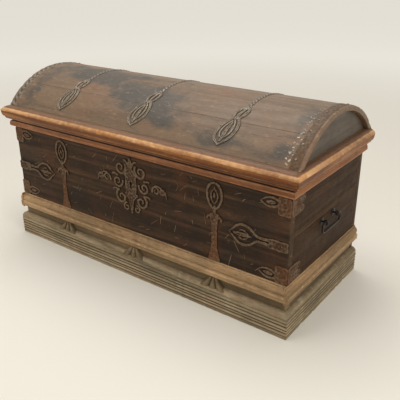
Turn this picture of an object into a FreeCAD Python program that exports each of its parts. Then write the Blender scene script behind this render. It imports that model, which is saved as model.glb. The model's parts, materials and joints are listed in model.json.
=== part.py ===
"""An oak coffer with a coopered dome lid, a moulded plinth, wrought straps, drop handles and a lock.

Millimetres. +X runs along the chest, the front faces -Y and +Z is up. The origin is on the floor,
in the middle of the outer box.
"""
import FreeCAD, Part
import math
import os
import Sketcher
from FreeCAD import Placement, Rotation, Vector

doc = FreeCAD.newDocument("Coffer")

# Driving dimensions
SIZES = {
    # Carcass boards
    "carcass_length": 1328,
    "carcass_depth": 552,
    "board_thick": 28,
    "bottom_level": 52,
    "bottom_thick": 22,
    "rim_level": 535,
    "end_seam_level": 366,
    # Plinth, plinth cap and rim moulding
    "plinth_height": 100,
    "plinth_project": 20,
    "cap_level": 130,
    "cap_height": 65,
    "cap_project": 16,
    "rim_height": 33,
    "rim_project": 16,
    "fan_width": 96,
    "fan_project": 15,
    # Lid
    "lid_gap": 0.5,
    "lid_height": 58,
    "lid_project": 38,
    "dome_rise": 133,
    "dome_overhang": 21,
    "stave_thick": 18,
    "end_panel_thick": 24,
    "panel_fit": 0.3,
    # Ironwork
    "iron_thick": 3,
    "iron_fit": 0.3,
    "strap_width": 34,
    "strap_inset": 284,
    "strap_shift": 20,
    "lid_finial_length": 144,
    "lid_finial_width": 84,
    "lid_finial_tip": 16,
    "lid_strap_width": 16,
    "lid_band_width": 42,
    "lid_band_inset": 8,
    "front_finial_length": 130,
    "front_finial_width": 66,
    "front_finial_room": 5,
    "corner_strap_level": 332,
    "corner_plate_length": 74,
    "corner_plate_height": 38,
    "corner_stem_length": 48,
    "corner_stem_height": 18,
    "corner_oval_length": 104,
    "corner_oval_width": 88,
    "corner_iron_length": 96,
    "corner_iron_height": 66,
    "corner_iron_depth": 90,
    # Escutcheon and lock
    "escutcheon_level": 384,
    "escutcheon_width": 204,
    "escutcheon_height": 228,
    "scroll_reach": 74,
    "keyhole_level": 396,
    "keyhole_radius": 5.5,
    "keyhole_slot_width": 6,
    "keyhole_slot_drop": 20,
    "lock_width": 132,
    "lock_drop": 152,
    "lock_plate_thick": 3,
    "lock_edge": 6,
    "bolt_length": 74,
    "bolt_depth": 8,
    "bolt_height": 14,
    "bolt_drop": 34,
    "bolt_fit": 0.3,
    "bolt_standoff": 10.5,
    "guide_length": 10,
    "guide_wall": 5,
    "guide_spacing": 40,
    "cover_thick": 2,
    "staple_thick": 6,
    "staple_wall": 5,
    "staple_room": 3,
    "staple_plate_width": 60,
    "staple_plate_height": 40,
    # Hinges
    "knuckle_radius": 6,
    "knuckle_length": 11,
    "knuckle_room": 0.5,
    "pin_radius": 3,
    "pin_fit": 0.05,
    "leaf_length": 150,
    # Drop handles
    "handle_level": 338,
    "eye_spacing": 92,
    "eye_radius": 9.5,
    "eye_thick": 8,
    "eye_bore": 5.3,
    "eye_standoff": 5,
    "shank_radius": 3.4,
    "shank_fit": 0.3,
    "rose_radius": 15,
    "bail_width": 152,
    "bail_drop": 34,
    "bail_radius": 4.8,
    "bail_bend": 14,
    "bail_stub": 9,
    "overrun": 5,
}

sheet = doc.addObject("Spreadsheet::Sheet", "Sizes")
for row, (alias, number) in enumerate(SIZES.items(), start=1):
    sheet.set(f"A{row}", alias)
    sheet.set(f"B{row}", str(number))
    sheet.setAlias(f"B{row}", alias)
doc.recompute()


class Size:
    """A number that also carries the text which binds it to the sheet."""

    def __init__(self, value, text):
        self.value = value
        self.text = text

    def __add__(self, other):
        other = as_size(other)
        return Size(self.value + other.value, f"({self.text} + {other.text})")

    def __sub__(self, other):
        other = as_size(other)
        return Size(self.value - other.value, f"({self.text} - {other.text})")

    def __mul__(self, other):
        other = as_size(other)
        return Size(self.value * other.value, f"({self.text} * {other.text})")

    def __truediv__(self, other):
        other = as_size(other)
        return Size(self.value / other.value, f"({self.text} / {other.text})")

    def __neg__(self):
        return Size(-self.value, f"(-1 * {self.text})")

    __radd__ = __add__
    __rmul__ = __mul__


def as_size(number):
    """A plain number becomes a size; a size stays as it is."""
    if isinstance(number, Size):
        return number
    return Size(number, f"{number:.9g}" if number >= 0 else f"(0 - {-number:.9g})")


def sine(angle):
    return Size(math.sin(math.radians(angle.value)), f"sin({angle.text})")


def cosine(angle):
    return Size(math.cos(math.radians(angle.value)), f"cos({angle.text})")


def arcsine(share):
    return Size(math.degrees(math.asin(share.value)), f"asin({share.text})")


def arccosine(share):
    return Size(math.degrees(math.acos(share.value)), f"acos({share.text})")


size = {alias: Size(sheet.get(alias), f"Sizes.{alias}") for alias in SIZES}

# Places worked out from the driving dimensions
half_length = size["carcass_length"] / 2
knuckle_reach = size["knuckle_room"] + size["knuckle_radius"] * 2
y_shift = (size["lid_project"] - knuckle_reach) / 2
y_front = y_shift - size["carcass_depth"] / 2
y_back = y_shift + size["carcass_depth"] / 2
wall_level = size["bottom_level"] + size["bottom_thick"]
inner_depth = size["carcass_depth"] - size["board_thick"] * 2
lid_level = size["rim_level"] + size["lid_gap"]
dome_level = lid_level + size["lid_height"]
half_depth = size["carcass_depth"] / 2
dome_radius = (half_depth * half_depth + size["dome_rise"] * size["dome_rise"]) / (size["dome_rise"] * 2)
dome_drop = dome_radius - size["dome_rise"]
dome_centre_level = dome_level - dome_drop
dome_angle = arcsine(half_depth / dome_radius)
soffit_radius = dome_radius - size["stave_thick"]
soffit_angle = arccosine(dome_drop / soffit_radius)
dome_length = size["carcass_length"] + size["dome_overhang"] * 2
pin_level = size["rim_level"] + size["lid_gap"] / 2
pin_place = y_back + size["knuckle_room"] + size["knuckle_radius"]
iron_front = y_front - size["iron_thick"]
cap_top = size["cap_level"] + size["cap_height"]
rim_bottom = size["rim_level"] - size["rim_height"]
strap_place = half_length - size["strap_inset"]
front_bar_height = rim_bottom - cap_top - size["front_finial_length"] - size["front_finial_room"]

nodes = []


def node(label, thing):
    """Names a finished sub-part and keeps it for writing."""
    thing.Label = label
    nodes.append(thing)
    return thing


def bind(thing, values):
    """Binds each named property of a thing to its size."""
    for prop, value in values.items():
        thing.setExpression(prop, as_size(value).text)


def place(thing, x, y, z):
    """Binds the place of a thing."""
    bind(thing, {"Placement.Base.x": x, "Placement.Base.y": y, "Placement.Base.z": z})


def box(name, x, y, z, length, width, height):
    """A box from its low corner."""
    thing = doc.addObject("Part::Box", name)
    bind(thing, {"Length": length, "Width": width, "Height": height})
    place(thing, x, y, z)
    return thing


AXIS_TURNS = {
    "x": Rotation(Vector(0, 1, 0), 90),
    "y": Rotation(Vector(1, 0, 0), -90),
    "z": Rotation(),
}


def rod(name, axis, x, y, z, radius, length):
    """A round bar that starts at a place and runs along a positive axis."""
    thing = doc.addObject("Part::Cylinder", name)
    thing.Placement = Placement(Vector(), AXIS_TURNS[axis])
    bind(thing, {"Radius": radius, "Height": length})
    place(thing, x, y, z)
    return thing


def fuse(name, things):
    thing = doc.addObject("Part::MultiFuse", name)
    thing.Shapes = things
    thing.Refine = True
    return thing


def cut(name, base, tools):
    thing = doc.addObject("Part::Cut", name)
    thing.Base = base
    thing.Tool = tools[0] if len(tools) == 1 else fuse(name + "_tools", tools)
    return thing


def group(name, things):
    """Separate solids that share one node."""
    thing = doc.addObject("Part::Compound", name)
    thing.Links = things
    return thing


def pin_point(sketch, geometry, vertex, u, v):
    """Ties a vertex of a sketch to its two coordinates."""
    for kind, axis, value in (("DistanceX", -2, as_size(u)), ("DistanceY", -1, as_size(v))):
        if value.text == "0":
            sketch.addConstraint(Sketcher.Constraint("PointOnObject", geometry, vertex, axis))
            continue
        number = sketch.addConstraint(Sketcher.Constraint(kind, -1, 1, geometry, vertex, value.value))
        sketch.setExpression(f"Constraints[{number}]", value.text)


def draw_stretch(sketch, start, stop):
    """Draws one stretch of an outline and returns which of its ends is the far one."""
    end = Vector(stop[-2].value, stop[-1].value, 0)
    if len(stop) == 2:
        sketch.addGeometry(Part.LineSegment(start, end), False)
        return 2
    middle = Vector(stop[0].value, stop[1].value, 0)
    turns_left = (middle - start).cross(end - middle).z > 0
    first, last = (start, end) if turns_left else (end, start)
    sketch.addGeometry(Part.Arc(first, middle, last), False)
    return 2 if turns_left else 1


def tie_stretch(sketch, index, far, stop):
    """Ties the far end of a stretch, and the middle of an arc, to their coordinates."""
    pin_point(sketch, index, far, stop[-2], stop[-1])
    if len(stop) == 4:
        mark = sketch.addGeometry(Part.Point(Vector(stop[0].value, stop[1].value, 0)), True)
        sketch.addConstraint(Sketcher.Constraint("PointOnObject", mark, 1, index))
        pin_point(sketch, mark, 1, stop[0], stop[1])


def new_sketch(body, plane):
    """An empty sketch on one of a body's own planes."""
    sketch = body.newObject("Sketcher::SketchObject", body.Name + "_sketch")
    support = [item for item in body.Origin.OriginFeatures if item.Role == plane][0]
    sketch.AttachmentSupport = [(support, "")]
    sketch.MapMode = "FlatFace"
    return sketch


def path_sketch(body, plane, stops, closed):
    """A path through its stops: (u, v) ends a line, (um, vm, u, v) ends an arc through a middle."""
    sketch = new_sketch(body, plane)
    stops = [tuple(as_size(value) for value in stop) for stop in stops]
    ends = [Vector(stop[-2].value, stop[-1].value, 0) for stop in stops]
    first = 0 if closed else 1
    far = [draw_stretch(sketch, ends[index - 1], stops[index]) for index in range(first, len(stops))]
    for index in range(len(far) if closed else len(far) - 1):
        after = (index + 1) % len(far)
        sketch.addConstraint(Sketcher.Constraint("Coincident", index, far[index], after, 3 - far[after]))
    if not closed:
        pin_point(sketch, 0, 3 - far[0], stops[0][-2], stops[0][-1])
    for index, stop in enumerate(stops[first:]):
        tie_stretch(sketch, index, far[index], stop)
    return sketch


def outline_body(name, plane, outline, length):
    """A body whose outline is drawn on one of its planes and padded evenly to both sides."""
    body = doc.addObject("PartDesign::Body", name)
    pad = body.newObject("PartDesign::Pad", name + "_pad")
    pad.Profile = path_sketch(body, plane, outline, True)
    pad.SideType = "Symmetric"
    bind(pad, {"Length": length})
    return body


def scaled(shares, width, height):
    """An outline in real sizes from a table of shares of its width and height."""
    sizes = (width, height)
    return [
        tuple(sizes[index % 2] * share if share else 0 for index, share in enumerate(point))
        for point in shares
    ]


# Moulding profiles: shares of the projection and the height, outwards and up
LID_PROFILE_SHARES = (
    (0, 0), (0.42, 0), (0.66, 0.062, 0.78, 0.21), (0.78, 0.30), (0.80, 0.58, 1.0, 0.70),
    (1.0, 0.79), (0.74, 0.942, 0.40, 1.0), (0, 1.0),
)
RIM_PROFILE_SHARES = (
    (0, 0), (0.28, 0), (0.80, 0.16, 0.86, 0.52), (1.0, 0.60), (1.0, 1.0), (0, 1.0),
)
CAP_PROFILE_SHARES = (
    (0, 0), (0.30, 0), (0.815, 0.18, 1.0, 0.40), (0.795, 0.66, 0.22, 0.88), (0.22, 1.0), (0, 1.0),
)
PLINTH_PROFILE_SHARES = (
    (0, 0), (0.84, 0), (0.90, 0.04), (0.90, 0.36), (0.80, 0.38),
    (1.0, 0.42, 0.82, 0.46), (1.0, 0.50, 0.82, 0.54), (1.0, 0.58, 0.82, 0.62), (1.0, 0.66, 0.82, 0.70),
    (0.90, 0.70), (0.78, 0.88, 0.24, 1.0), (0, 1.0),
)


def mitre(body, length, project, ends):
    """Cuts a run of moulding to 45 degrees at its listed ends."""
    for end in ends:
        tip = length / 2 * end
        heel = tip - project * end
        sketch = path_sketch(body, "XY_Plane", [(heel, 0), (tip, 0), (tip, project)], True)
        pocket = body.newObject("PartDesign::Pocket", body.Name + "_mitre")
        pocket.Profile = sketch
        pocket.SideType = "Symmetric"
        pocket.Type = "ThroughAll"


def moulding_runs(name, shares, project, height, level, mitred):
    """Front, left and right runs of a moulding round the chest, with the side runs square at the back."""
    front_length = size["carcass_length"] + (project * 2 if mitred else 0)
    side_length = size["carcass_depth"] + project
    side_middle = y_back - side_length / 2
    runs = (
        ("front", 180, front_length, (1, -1), 0, y_front),
        ("left", 90, side_length, (-1,), -half_length, side_middle),
        ("right", -90, side_length, (1,), half_length, side_middle),
    )
    for side, turn, length, ends, x, y in runs:
        body = outline_body(f"{name}_{side}", "YZ_Plane", scaled(shares, project, height), length)
        if mitred:
            mitre(body, length, project, ends)
        body.Placement = Placement(Vector(), Rotation(Vector(0, 0, 1), turn))
        place(body, x, y, level)
        node(f"{name}_{side}", body)


# Carcass: the front and back boards lap the ends, and all stand on the bottom boards
wall_height = size["rim_level"] - wall_level
inner_front = y_front + size["board_thick"]
lock_middle = -size["staple_thick"] / 2


def keyhole(name, y, depth):
    """A round hole with a slot below it, through a plate or a board."""
    hole = rod(name + "_round", "y", 0, y, size["keyhole_level"], size["keyhole_radius"], depth)
    slot_level = size["keyhole_level"] - size["keyhole_slot_drop"]
    slot = box(name + "_slot", -size["keyhole_slot_width"] / 2, y, slot_level,
               size["keyhole_slot_width"], depth, size["keyhole_slot_drop"])
    return [hole, slot]


def carcass():
    through = size["board_thick"] + size["overrun"] * 2
    front = box("front_blank", -half_length, y_front, wall_level,
                size["carcass_length"], size["board_thick"], wall_height)
    node("front_board", cut("front_cut", front, keyhole("front_key", y_front - size["overrun"], through)))
    node("back_board", box("back", -half_length, y_back - size["board_thick"], wall_level,
                           size["carcass_length"], size["board_thick"], wall_height))
    lower_height = size["end_seam_level"] - wall_level
    upper_height = size["rim_level"] - size["end_seam_level"]
    for side, x in (("left", -half_length), ("right", half_length - size["board_thick"])):
        lower = box(f"{side}_lower_blank", x, inner_front, wall_level,
                    size["board_thick"], inner_depth, lower_height)
        bores = [
            rod(f"{side}_bore_{index}", "x", x - size["overrun"], y_shift + size["eye_spacing"] / 2 * way,
                size["handle_level"], size["shank_radius"] + size["shank_fit"], through)
            for index, way in enumerate((-1, 1))
        ]
        node(f"end_board_{side}_lower", cut(f"{side}_lower_cut", lower, bores))
        node(f"end_board_{side}_upper", box(f"{side}_upper", x, inner_front, size["end_seam_level"],
                                            size["board_thick"], inner_depth, upper_height))
    bottom_count = 3
    bottom_width = size["carcass_depth"] / bottom_count
    for index in range(bottom_count):
        board = box(f"bottom_{index}", -half_length, y_front + bottom_width * index, size["bottom_level"],
                    size["carcass_length"], bottom_width, size["bottom_thick"])
        node(f"bottom_board_{index + 1}", board)


def plinth():
    moulding_runs("plinth", PLINTH_PROFILE_SHARES, size["plinth_project"], size["plinth_height"], 0, True)
    moulding_runs("plinth_cap", CAP_PROFILE_SHARES, size["cap_project"], size["cap_height"],
                  size["cap_level"], False)
    node("plinth_back", box("plinth_rear", -half_length, y_back - size["board_thick"], 0,
                            size["carcass_length"], size["board_thick"], size["bottom_level"]))
    moulding_runs("rim_moulding", RIM_PROFILE_SHARES, size["rim_project"], size["rim_height"],
                  rim_bottom, True)
    fan_height = size["cap_level"] - size["plinth_height"]
    fan_profile_shares = ((-0.32, 0.62, -0.5, 0), (0.5, 0), (0.32, 0.62, 0.22, 1.0), (-0.22, 1.0))
    fans = []
    for index, way in enumerate((-1, 0, 1)):
        outline = scaled(fan_profile_shares, size["fan_width"], fan_height)
        fan = outline_body(f"fan_{index}", "XZ_Plane", outline, size["fan_project"])
        place(fan, strap_place * way, y_front - size["fan_project"] / 2, size["plinth_height"])
        fans.append(fan)
    node("plinth_fans", group("fans", fans))


# Lid: rails and segment ends carry five staves, with mouldings nailed round them
def polar(radius, angle):
    """A point of the dome's section, from its centre, at an angle from the top."""
    return (radius * sine(angle), radius * cosine(angle))


def staves():
    stave_count = 5
    for index in range(stave_count):
        low_share = 2 * index / stave_count - 1
        high_share = 2 * (index + 1) / stave_count - 1
        middle_share = (low_share + high_share) / 2
        first = index == 0
        last = index == stave_count - 1
        inner_low = -soffit_angle if first else dome_angle * low_share
        inner_high = soffit_angle if last else dome_angle * high_share
        inner_middle = (inner_low + inner_high) / 2
        outline = [
            polar(soffit_radius, inner_low),
            polar(dome_radius, dome_angle * low_share),
            polar(dome_radius, dome_angle * middle_share) + polar(dome_radius, dome_angle * high_share),
            polar(soffit_radius, inner_high),
        ]
        outline[0] = polar(soffit_radius, inner_middle) + outline[0]
        stave = outline_body(f"stave_{index}", "YZ_Plane", outline, dome_length)
        place(stave, 0, y_shift, dome_centre_level)
        node(f"lid_stave_{index + 1}", stave)


def lid_frame():
    for side, y in (("front", y_front), ("back", y_back - size["board_thick"])):
        node(f"lid_rail_{side}", box(f"rail_{side}", -half_length, y, lid_level, size["carcass_length"],
                                     size["board_thick"], size["lid_height"]))
    panel_radius = soffit_radius - size["panel_fit"]
    panel_half = inner_depth / 2
    panel_angle = arcsine(panel_half / panel_radius)
    foot = dome_drop - size["lid_height"]
    outline = [
        (-panel_half, foot),
        (panel_half, foot),
        polar(panel_radius, panel_angle),
        (0, panel_radius) + polar(panel_radius, -panel_angle),
    ]
    for side, way in (("left", -1), ("right", 1)):
        panel = outline_body(f"panel_{side}", "YZ_Plane", outline, size["end_panel_thick"])
        place(panel, (half_length - size["end_panel_thick"] / 2) * way, y_shift, dome_centre_level)
        node(f"lid_end_{side}", panel)
    moulding_runs("lid_moulding", LID_PROFILE_SHARES, size["lid_project"], size["lid_height"],
                  lid_level, True)


# Wrought iron: flat outlines built up from round lobes, bars and pierced holes
LEAF_LOBE_SHARES = (
    (0.05, 0, 0.20), (0.16, 0, 0.12), (0.27, 0, 0.15), (0.40, -0.11, 0.20), (0.40, 0.11, 0.20),
    (0.56, -0.17, 0.24), (0.56, 0.17, 0.24), (0.70, -0.20, 0.26), (0.70, 0.20, 0.26),
    (0.84, -0.10, 0.22), (0.84, 0.10, 0.22), (0.95, 0, 0.09),
)
LEAF_HOLE_SHARES = (
    (0.43, 0, 0.08), (0.57, -0.17, 0.09), (0.57, 0.17, 0.09), (0.73, -0.22, 0.09), (0.73, 0.22, 0.09),
    (0.72, 0, 0.08), (0.86, 0, 0.07),
)
LEAF_LEAN_SHARE = 0.16
OVAL_LOBE_SHARES = ((0.12, 0, 0.22), (0.42, 0, 0.40), (0.58, 0, 0.40), (0.94, 0, 0.08))
OVAL_HOLE_SHARES = ((0.28, 0, 0.09), (0.48, -0.22, 0.10), (0.48, 0.22, 0.10), (0.74, 0, 0.09))


class Plate:
    """Where flat ironwork is drawn: on the front face, or in plan above the lid."""

    def __init__(self, axis, start, thick):
        self.axis = axis
        self.start = start
        self.thick = thick

    def disc(self, name, u, v, radius):
        if self.axis == "y":
            return rod(name, "y", u, self.start, v, radius, self.thick)
        return rod(name, "z", u, v, self.start, radius, self.thick)

    def bar(self, name, u, v, length, width):
        if self.axis == "y":
            return box(name, u, self.start, v, length, self.thick, width)
        return box(name, u, v, self.start, length, width, self.thick)


front_plate = Plate("y", iron_front, size["iron_thick"])
front_cutter = Plate("y", iron_front - size["overrun"], size["iron_thick"] + size["overrun"] * 2)
plan_plate = Plate("z", dome_level, size["dome_rise"] + size["overrun"])
plan_cutter = Plate("z", dome_level - size["overrun"], size["dome_rise"] + size["overrun"] * 3)


def lobes(name, plate, root, way, length, width, shares):
    """Discs along a finial: shares are (along its length, across its width, radius over its width)."""
    u, v = root
    along_u, along_v = way
    discs = []
    for index, (along, across, radius) in enumerate(shares):
        place_u = u + length * (along * along_u) - width * (across * along_v)
        place_v = v + length * (along * along_v) + width * (across * along_u)
        discs.append(plate.disc(f"{name}_{index}", place_u, place_v, width * radius))
    return discs


def lid_straps():
    strap_outer = dome_radius + size["iron_fit"] + size["iron_thick"]
    strap_inner = dome_radius + size["iron_fit"]
    front_angle = -dome_angle
    shell_outline = [
        polar(strap_inner, front_angle),
        polar(strap_outer, front_angle),
        (0, strap_outer) + polar(strap_outer, dome_angle),
        polar(strap_inner, dome_angle),
    ]
    shell_outline[0] = (0, strap_inner) + shell_outline[0]
    tip = y_front + size["lid_finial_tip"]
    root = tip + size["lid_finial_length"]
    bar_length = y_back + size["knuckle_radius"] - root
    leaf_level = pin_level + size["knuckle_radius"] + size["knuckle_room"] * 2
    barrel_half = size["knuckle_length"] / 2
    plate_start = y_back + size["iron_fit"]
    heading = (-LEAF_LEAN_SHARE, -1)
    shell_width = size["lid_finial_width"] + size["lid_finial_length"] * LEAF_LEAN_SHARE * 2
    for side, way in (("left", -1), ("middle", 0), ("right", 1)):
        x = strap_place * way + size["strap_shift"]
        shell = outline_body(f"shell_{side}", "YZ_Plane", shell_outline, shell_width)
        place(shell, x, y_shift, dome_centre_level)
        plan = lobes(f"lid_lobe_{side}", plan_plate, (x, root), heading, size["lid_finial_length"],
                     size["lid_finial_width"], LEAF_LOBE_SHARES)
        bar = plan_plate.bar(f"lid_bar_{side}", x - size["lid_strap_width"] / 2, root,
                             size["lid_strap_width"], bar_length)
        holes = lobes(f"lid_hole_{side}", plan_cutter, (x, root), heading, size["lid_finial_length"],
                      size["lid_finial_width"], LEAF_HOLE_SHARES)
        pierced = cut(f"lid_pierced_{side}", fuse(f"lid_plan_{side}", plan + [bar]), holes)
        strap = doc.addObject("Part::Common", f"strap_{side}")
        strap.Base = shell
        strap.Tool = pierced
        leaf = box(f"lid_leaf_{side}", x - size["strap_width"] / 2, plate_start, leaf_level,
                   size["strap_width"], size["iron_thick"], dome_level + size["iron_thick"] - leaf_level)
        tab = box(f"lid_tab_{side}", x - barrel_half, plate_start, pin_level,
                  size["knuckle_length"], size["iron_thick"], leaf_level - pin_level)
        barrel = rod(f"lid_barrel_{side}", "x", x - barrel_half, pin_place, pin_level,
                     size["knuckle_radius"], size["knuckle_length"])
        whole = fuse(f"lid_strap_blank_{side}", [strap, leaf, tab, barrel])
        bore = rod(f"lid_bore_{side}", "x", x - barrel_half - size["overrun"], pin_place, pin_level,
                   size["pin_radius"] + size["pin_fit"], size["knuckle_length"] + size["overrun"] * 2)
        node(f"lid_strap_{side}", cut(f"lid_strap_cut_{side}", whole, [bore]))
    for side, way in (("left", -1), ("right", 1)):
        band = outline_body(f"band_{side}", "YZ_Plane", shell_outline, size["lid_band_width"])
        band_place = (dome_length - size["lid_band_width"]) / 2 - size["lid_band_inset"]
        place(band, band_place * way, y_shift, dome_centre_level)
        node(f"lid_band_{side}", band)


def hinge_leaves():
    """The fixed half of each hinge: a plate on the back with two barrels, and its pin."""
    side_gap = size["knuckle_room"] / 2
    plate_top = pin_level - size["knuckle_radius"] - size["knuckle_room"] * 2
    leaf_bottom = plate_top - size["leaf_length"]
    pins = []
    for side, way in (("left", -1), ("middle", 0), ("right", 1)):
        x = strap_place * way + size["strap_shift"]
        pieces = [box(f"leaf_plate_{side}", x - size["strap_width"] / 2, y_back, leaf_bottom,
                      size["strap_width"], size["iron_thick"], size["leaf_length"])]
        pieces.append(rod(f"leaf_foot_{side}", "y", x, y_back, leaf_bottom,
                          size["strap_width"] / 2, size["iron_thick"]))
        first = size["knuckle_length"] / 2 + side_gap
        starts = (x - first - size["knuckle_length"], x + first)
        for index, start in enumerate(starts):
            pieces.append(box(f"leaf_tab_{side}_{index}", start, y_back, plate_top,
                              size["knuckle_length"], size["iron_thick"], pin_level - plate_top))
            pieces.append(rod(f"leaf_barrel_{side}_{index}", "x", start, pin_place, pin_level,
                              size["knuckle_radius"], size["knuckle_length"]))
        pin_start = x - first - size["knuckle_length"] - size["knuckle_room"]
        pin_length = (first + size["knuckle_length"] + size["knuckle_room"]) * 2
        bore = rod(f"leaf_bore_{side}", "x", pin_start - size["overrun"], pin_place, pin_level,
                   size["pin_radius"] + size["pin_fit"], pin_length + size["overrun"] * 2)
        node(f"hinge_leaf_{side}", cut(f"leaf_{side}", fuse(f"leaf_blank_{side}", pieces), [bore]))
        pins.append(rod(f"pin_{side}", "x", pin_start, pin_place, pin_level,
                        size["pin_radius"], pin_length))
    node("hinge_pins", group("pins", pins))


def front_straps():
    for side, way in (("left", -1), ("right", 1)):
        x = strap_place * way
        bar = front_plate.bar(f"front_bar_{side}", x - size["strap_width"] / 2, cap_top,
                              size["strap_width"], front_bar_height)
        root = (x, cap_top + front_bar_height)
        leaf = lobes(f"front_lobe_{side}", front_plate, root, (0, 1), size["front_finial_length"],
                     size["front_finial_width"], LEAF_LOBE_SHARES)
        holes = lobes(f"front_hole_{side}", front_cutter, root, (0, 1), size["front_finial_length"],
                      size["front_finial_width"], LEAF_HOLE_SHARES)
        blank = fuse(f"front_fuse_{side}", [bar] + leaf)
        node(f"front_strap_{side}", cut(f"front_strap_cut_{side}", blank, holes))


def corner_straps():
    level = size["corner_strap_level"]
    for side, way in (("left", -1), ("right", 1)):
        plate_low = -half_length if way < 0 else half_length - size["corner_plate_length"]
        stem_end = (half_length - size["corner_plate_length"] - size["corner_stem_length"]) * way
        plate = front_plate.bar(f"corner_plate_{side}", plate_low, level - size["corner_plate_height"] / 2,
                                size["corner_plate_length"], size["corner_plate_height"])
        stem_start = stem_end if way > 0 else stem_end - size["corner_stem_length"]
        stem = front_plate.bar(f"corner_stem_{side}", stem_start, level - size["corner_stem_height"] / 2,
                               size["corner_stem_length"], size["corner_stem_height"])
        root = (stem_end, level)
        oval = lobes(f"corner_lobe_{side}", front_plate, root, (-way, 0), size["corner_oval_length"],
                     size["corner_oval_width"], OVAL_LOBE_SHARES)
        holes = lobes(f"corner_hole_{side}", front_cutter, root, (-way, 0), size["corner_oval_length"],
                      size["corner_oval_width"], OVAL_HOLE_SHARES)
        blank = fuse(f"corner_fuse_{side}", [plate, stem] + oval)
        node(f"corner_strap_{side}", cut(f"corner_cut_{side}", blank, holes))


def corner_irons():
    """Iron wrapped round each front corner at the top and the bottom, with a scrolled tip on the front."""
    levels = {"upper": rim_bottom - size["corner_iron_height"], "lower": cap_top}
    notch_share = 0.6
    scroll_share = 0.2
    scroll_level_shares = {"upper": 0.78, "lower": 0.22}
    for height, level in levels.items():
        for side, way in (("left", -1), ("right", 1)):
            outer = (half_length + size["iron_thick"]) * way
            front_low = outer if way < 0 else outer - size["corner_iron_length"]
            front = box(f"ci_front_{height}_{side}", front_low, iron_front, level,
                        size["corner_iron_length"], size["iron_thick"], size["corner_iron_height"])
            end = box(f"ci_end_{height}_{side}", outer if way < 0 else half_length, iron_front, level,
                      size["iron_thick"], size["corner_iron_depth"], size["corner_iron_height"])
            notch_level = level if height == "upper" else level + size["corner_iron_height"]
            notch_place = outer - size["corner_iron_length"] * way
            notch = front_cutter.disc(f"ci_notch_{height}_{side}", notch_place, notch_level,
                                      size["corner_iron_height"] * notch_share)
            scroll_level = level + size["corner_iron_height"] * scroll_level_shares[height]
            scroll = front_plate.disc(f"ci_scroll_{height}_{side}", notch_place, scroll_level,
                                      size["corner_iron_height"] * scroll_share)
            blank = fuse(f"ci_blank_{height}_{side}", [front, end, scroll])
            node(f"corner_iron_{height}_{side}", cut(f"ci_{height}_{side}", blank, [notch]))


ESCUTCHEON_LOBE_SHARES = (
    (0.43, 0, 0.08), (0.37, -0.13, 0.11), (0.37, 0.13, 0.11), (0.28, -0.28, 0.12), (0.28, 0.28, 0.12),
    (0.14, -0.36, 0.115), (0.14, 0.36, 0.115), (0.0, -0.30, 0.11), (0.0, 0.30, 0.11),
    (-0.13, -0.35, 0.12), (-0.13, 0.35, 0.12), (-0.25, -0.26, 0.13), (-0.25, 0.26, 0.13),
    (-0.36, -0.13, 0.11), (-0.36, 0.13, 0.11), (-0.44, 0, 0.08),
)
ESCUTCHEON_HOLE_SHARES = (
    (0.37, -0.13, 0.05), (0.37, 0.13, 0.05), (0.28, -0.28, 0.055), (0.28, 0.28, 0.055), (0.25, 0, 0.06),
    (0.14, -0.36, 0.05), (0.14, 0.36, 0.05), (-0.13, -0.35, 0.055), (-0.13, 0.35, 0.055),
    (-0.25, -0.26, 0.06), (-0.25, 0.26, 0.06), (-0.36, -0.13, 0.05), (-0.36, 0.13, 0.05), (-0.24, 0, 0.06),
)
SCROLL_LOBE_SHARES = ((0.24, -0.05, 0.20), (0.48, 0.06, 0.26), (0.80, 0.02, 0.20))
SCROLL_HOLE_SHARES = ((0.48, 0.06, 0.13), (0.80, 0.02, 0.10))
SCROLL_LEVEL_SHARE = 0.06
BODY_WIDTH_SHARE = 0.58
BODY_HEIGHT_SHARE = 0.70


def escutcheon():
    width = size["escutcheon_width"]
    height = size["escutcheon_height"]
    level = size["escutcheon_level"]
    body_width = width * BODY_WIDTH_SHARE
    body_height = height * BODY_HEIGHT_SHARE
    middle = (as_size(0), level)
    plate = front_plate.bar("escutcheon_body", -body_width / 2, level - body_height / 2,
                            body_width, body_height)
    edge = lobes("escutcheon_lobe", front_plate, middle, (0, 1), height, width, ESCUTCHEON_LOBE_SHARES)
    holes = lobes("escutcheon_hole", front_cutter, middle, (0, 1), height, width, ESCUTCHEON_HOLE_SHARES)
    depth = size["iron_thick"] + size["overrun"] * 2
    opening = keyhole("escutcheon_key", iron_front - size["overrun"], depth)
    node("escutcheon", cut("escutcheon_cut", fuse("escutcheon_fuse", [plate] + edge), holes + opening))
    scrolls = []
    for side, way in (("left", -1), ("right", 1)):
        root = (width / 2 * way, level + height * SCROLL_LEVEL_SHARE)
        lobe_shares = [(along, across * way, radius) for along, across, radius in SCROLL_LOBE_SHARES]
        hole_shares = [(along, across * way, radius) for along, across, radius in SCROLL_HOLE_SHARES]
        curl = lobes(f"scroll_lobe_{side}", front_plate, root, (way, 0), size["scroll_reach"],
                     size["scroll_reach"], lobe_shares)
        eyes = lobes(f"scroll_hole_{side}", front_cutter, root, (way, 0), size["scroll_reach"],
                     size["scroll_reach"], hole_shares)
        scrolls.append(cut(f"scroll_{side}", fuse(f"scroll_fuse_{side}", curl), eyes))
    node("escutcheon_scrolls", group("scrolls", scrolls))


# Lock: a plate with two guides and a cover inside the front, a sliding bolt, and a staple on the lid
lock_back = inner_front + size["lock_plate_thick"]
bolt_start_y = lock_back + size["bolt_standoff"]
bolt_level = size["rim_level"] - size["bolt_drop"]
bolt_tip = lock_middle - size["staple_room"]
guide_depth = size["bolt_standoff"] + size["bolt_depth"] + size["bolt_fit"] + size["guide_wall"]
guide_height = size["guide_wall"] * 2 + size["bolt_height"] + size["bolt_fit"] * 2


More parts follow.
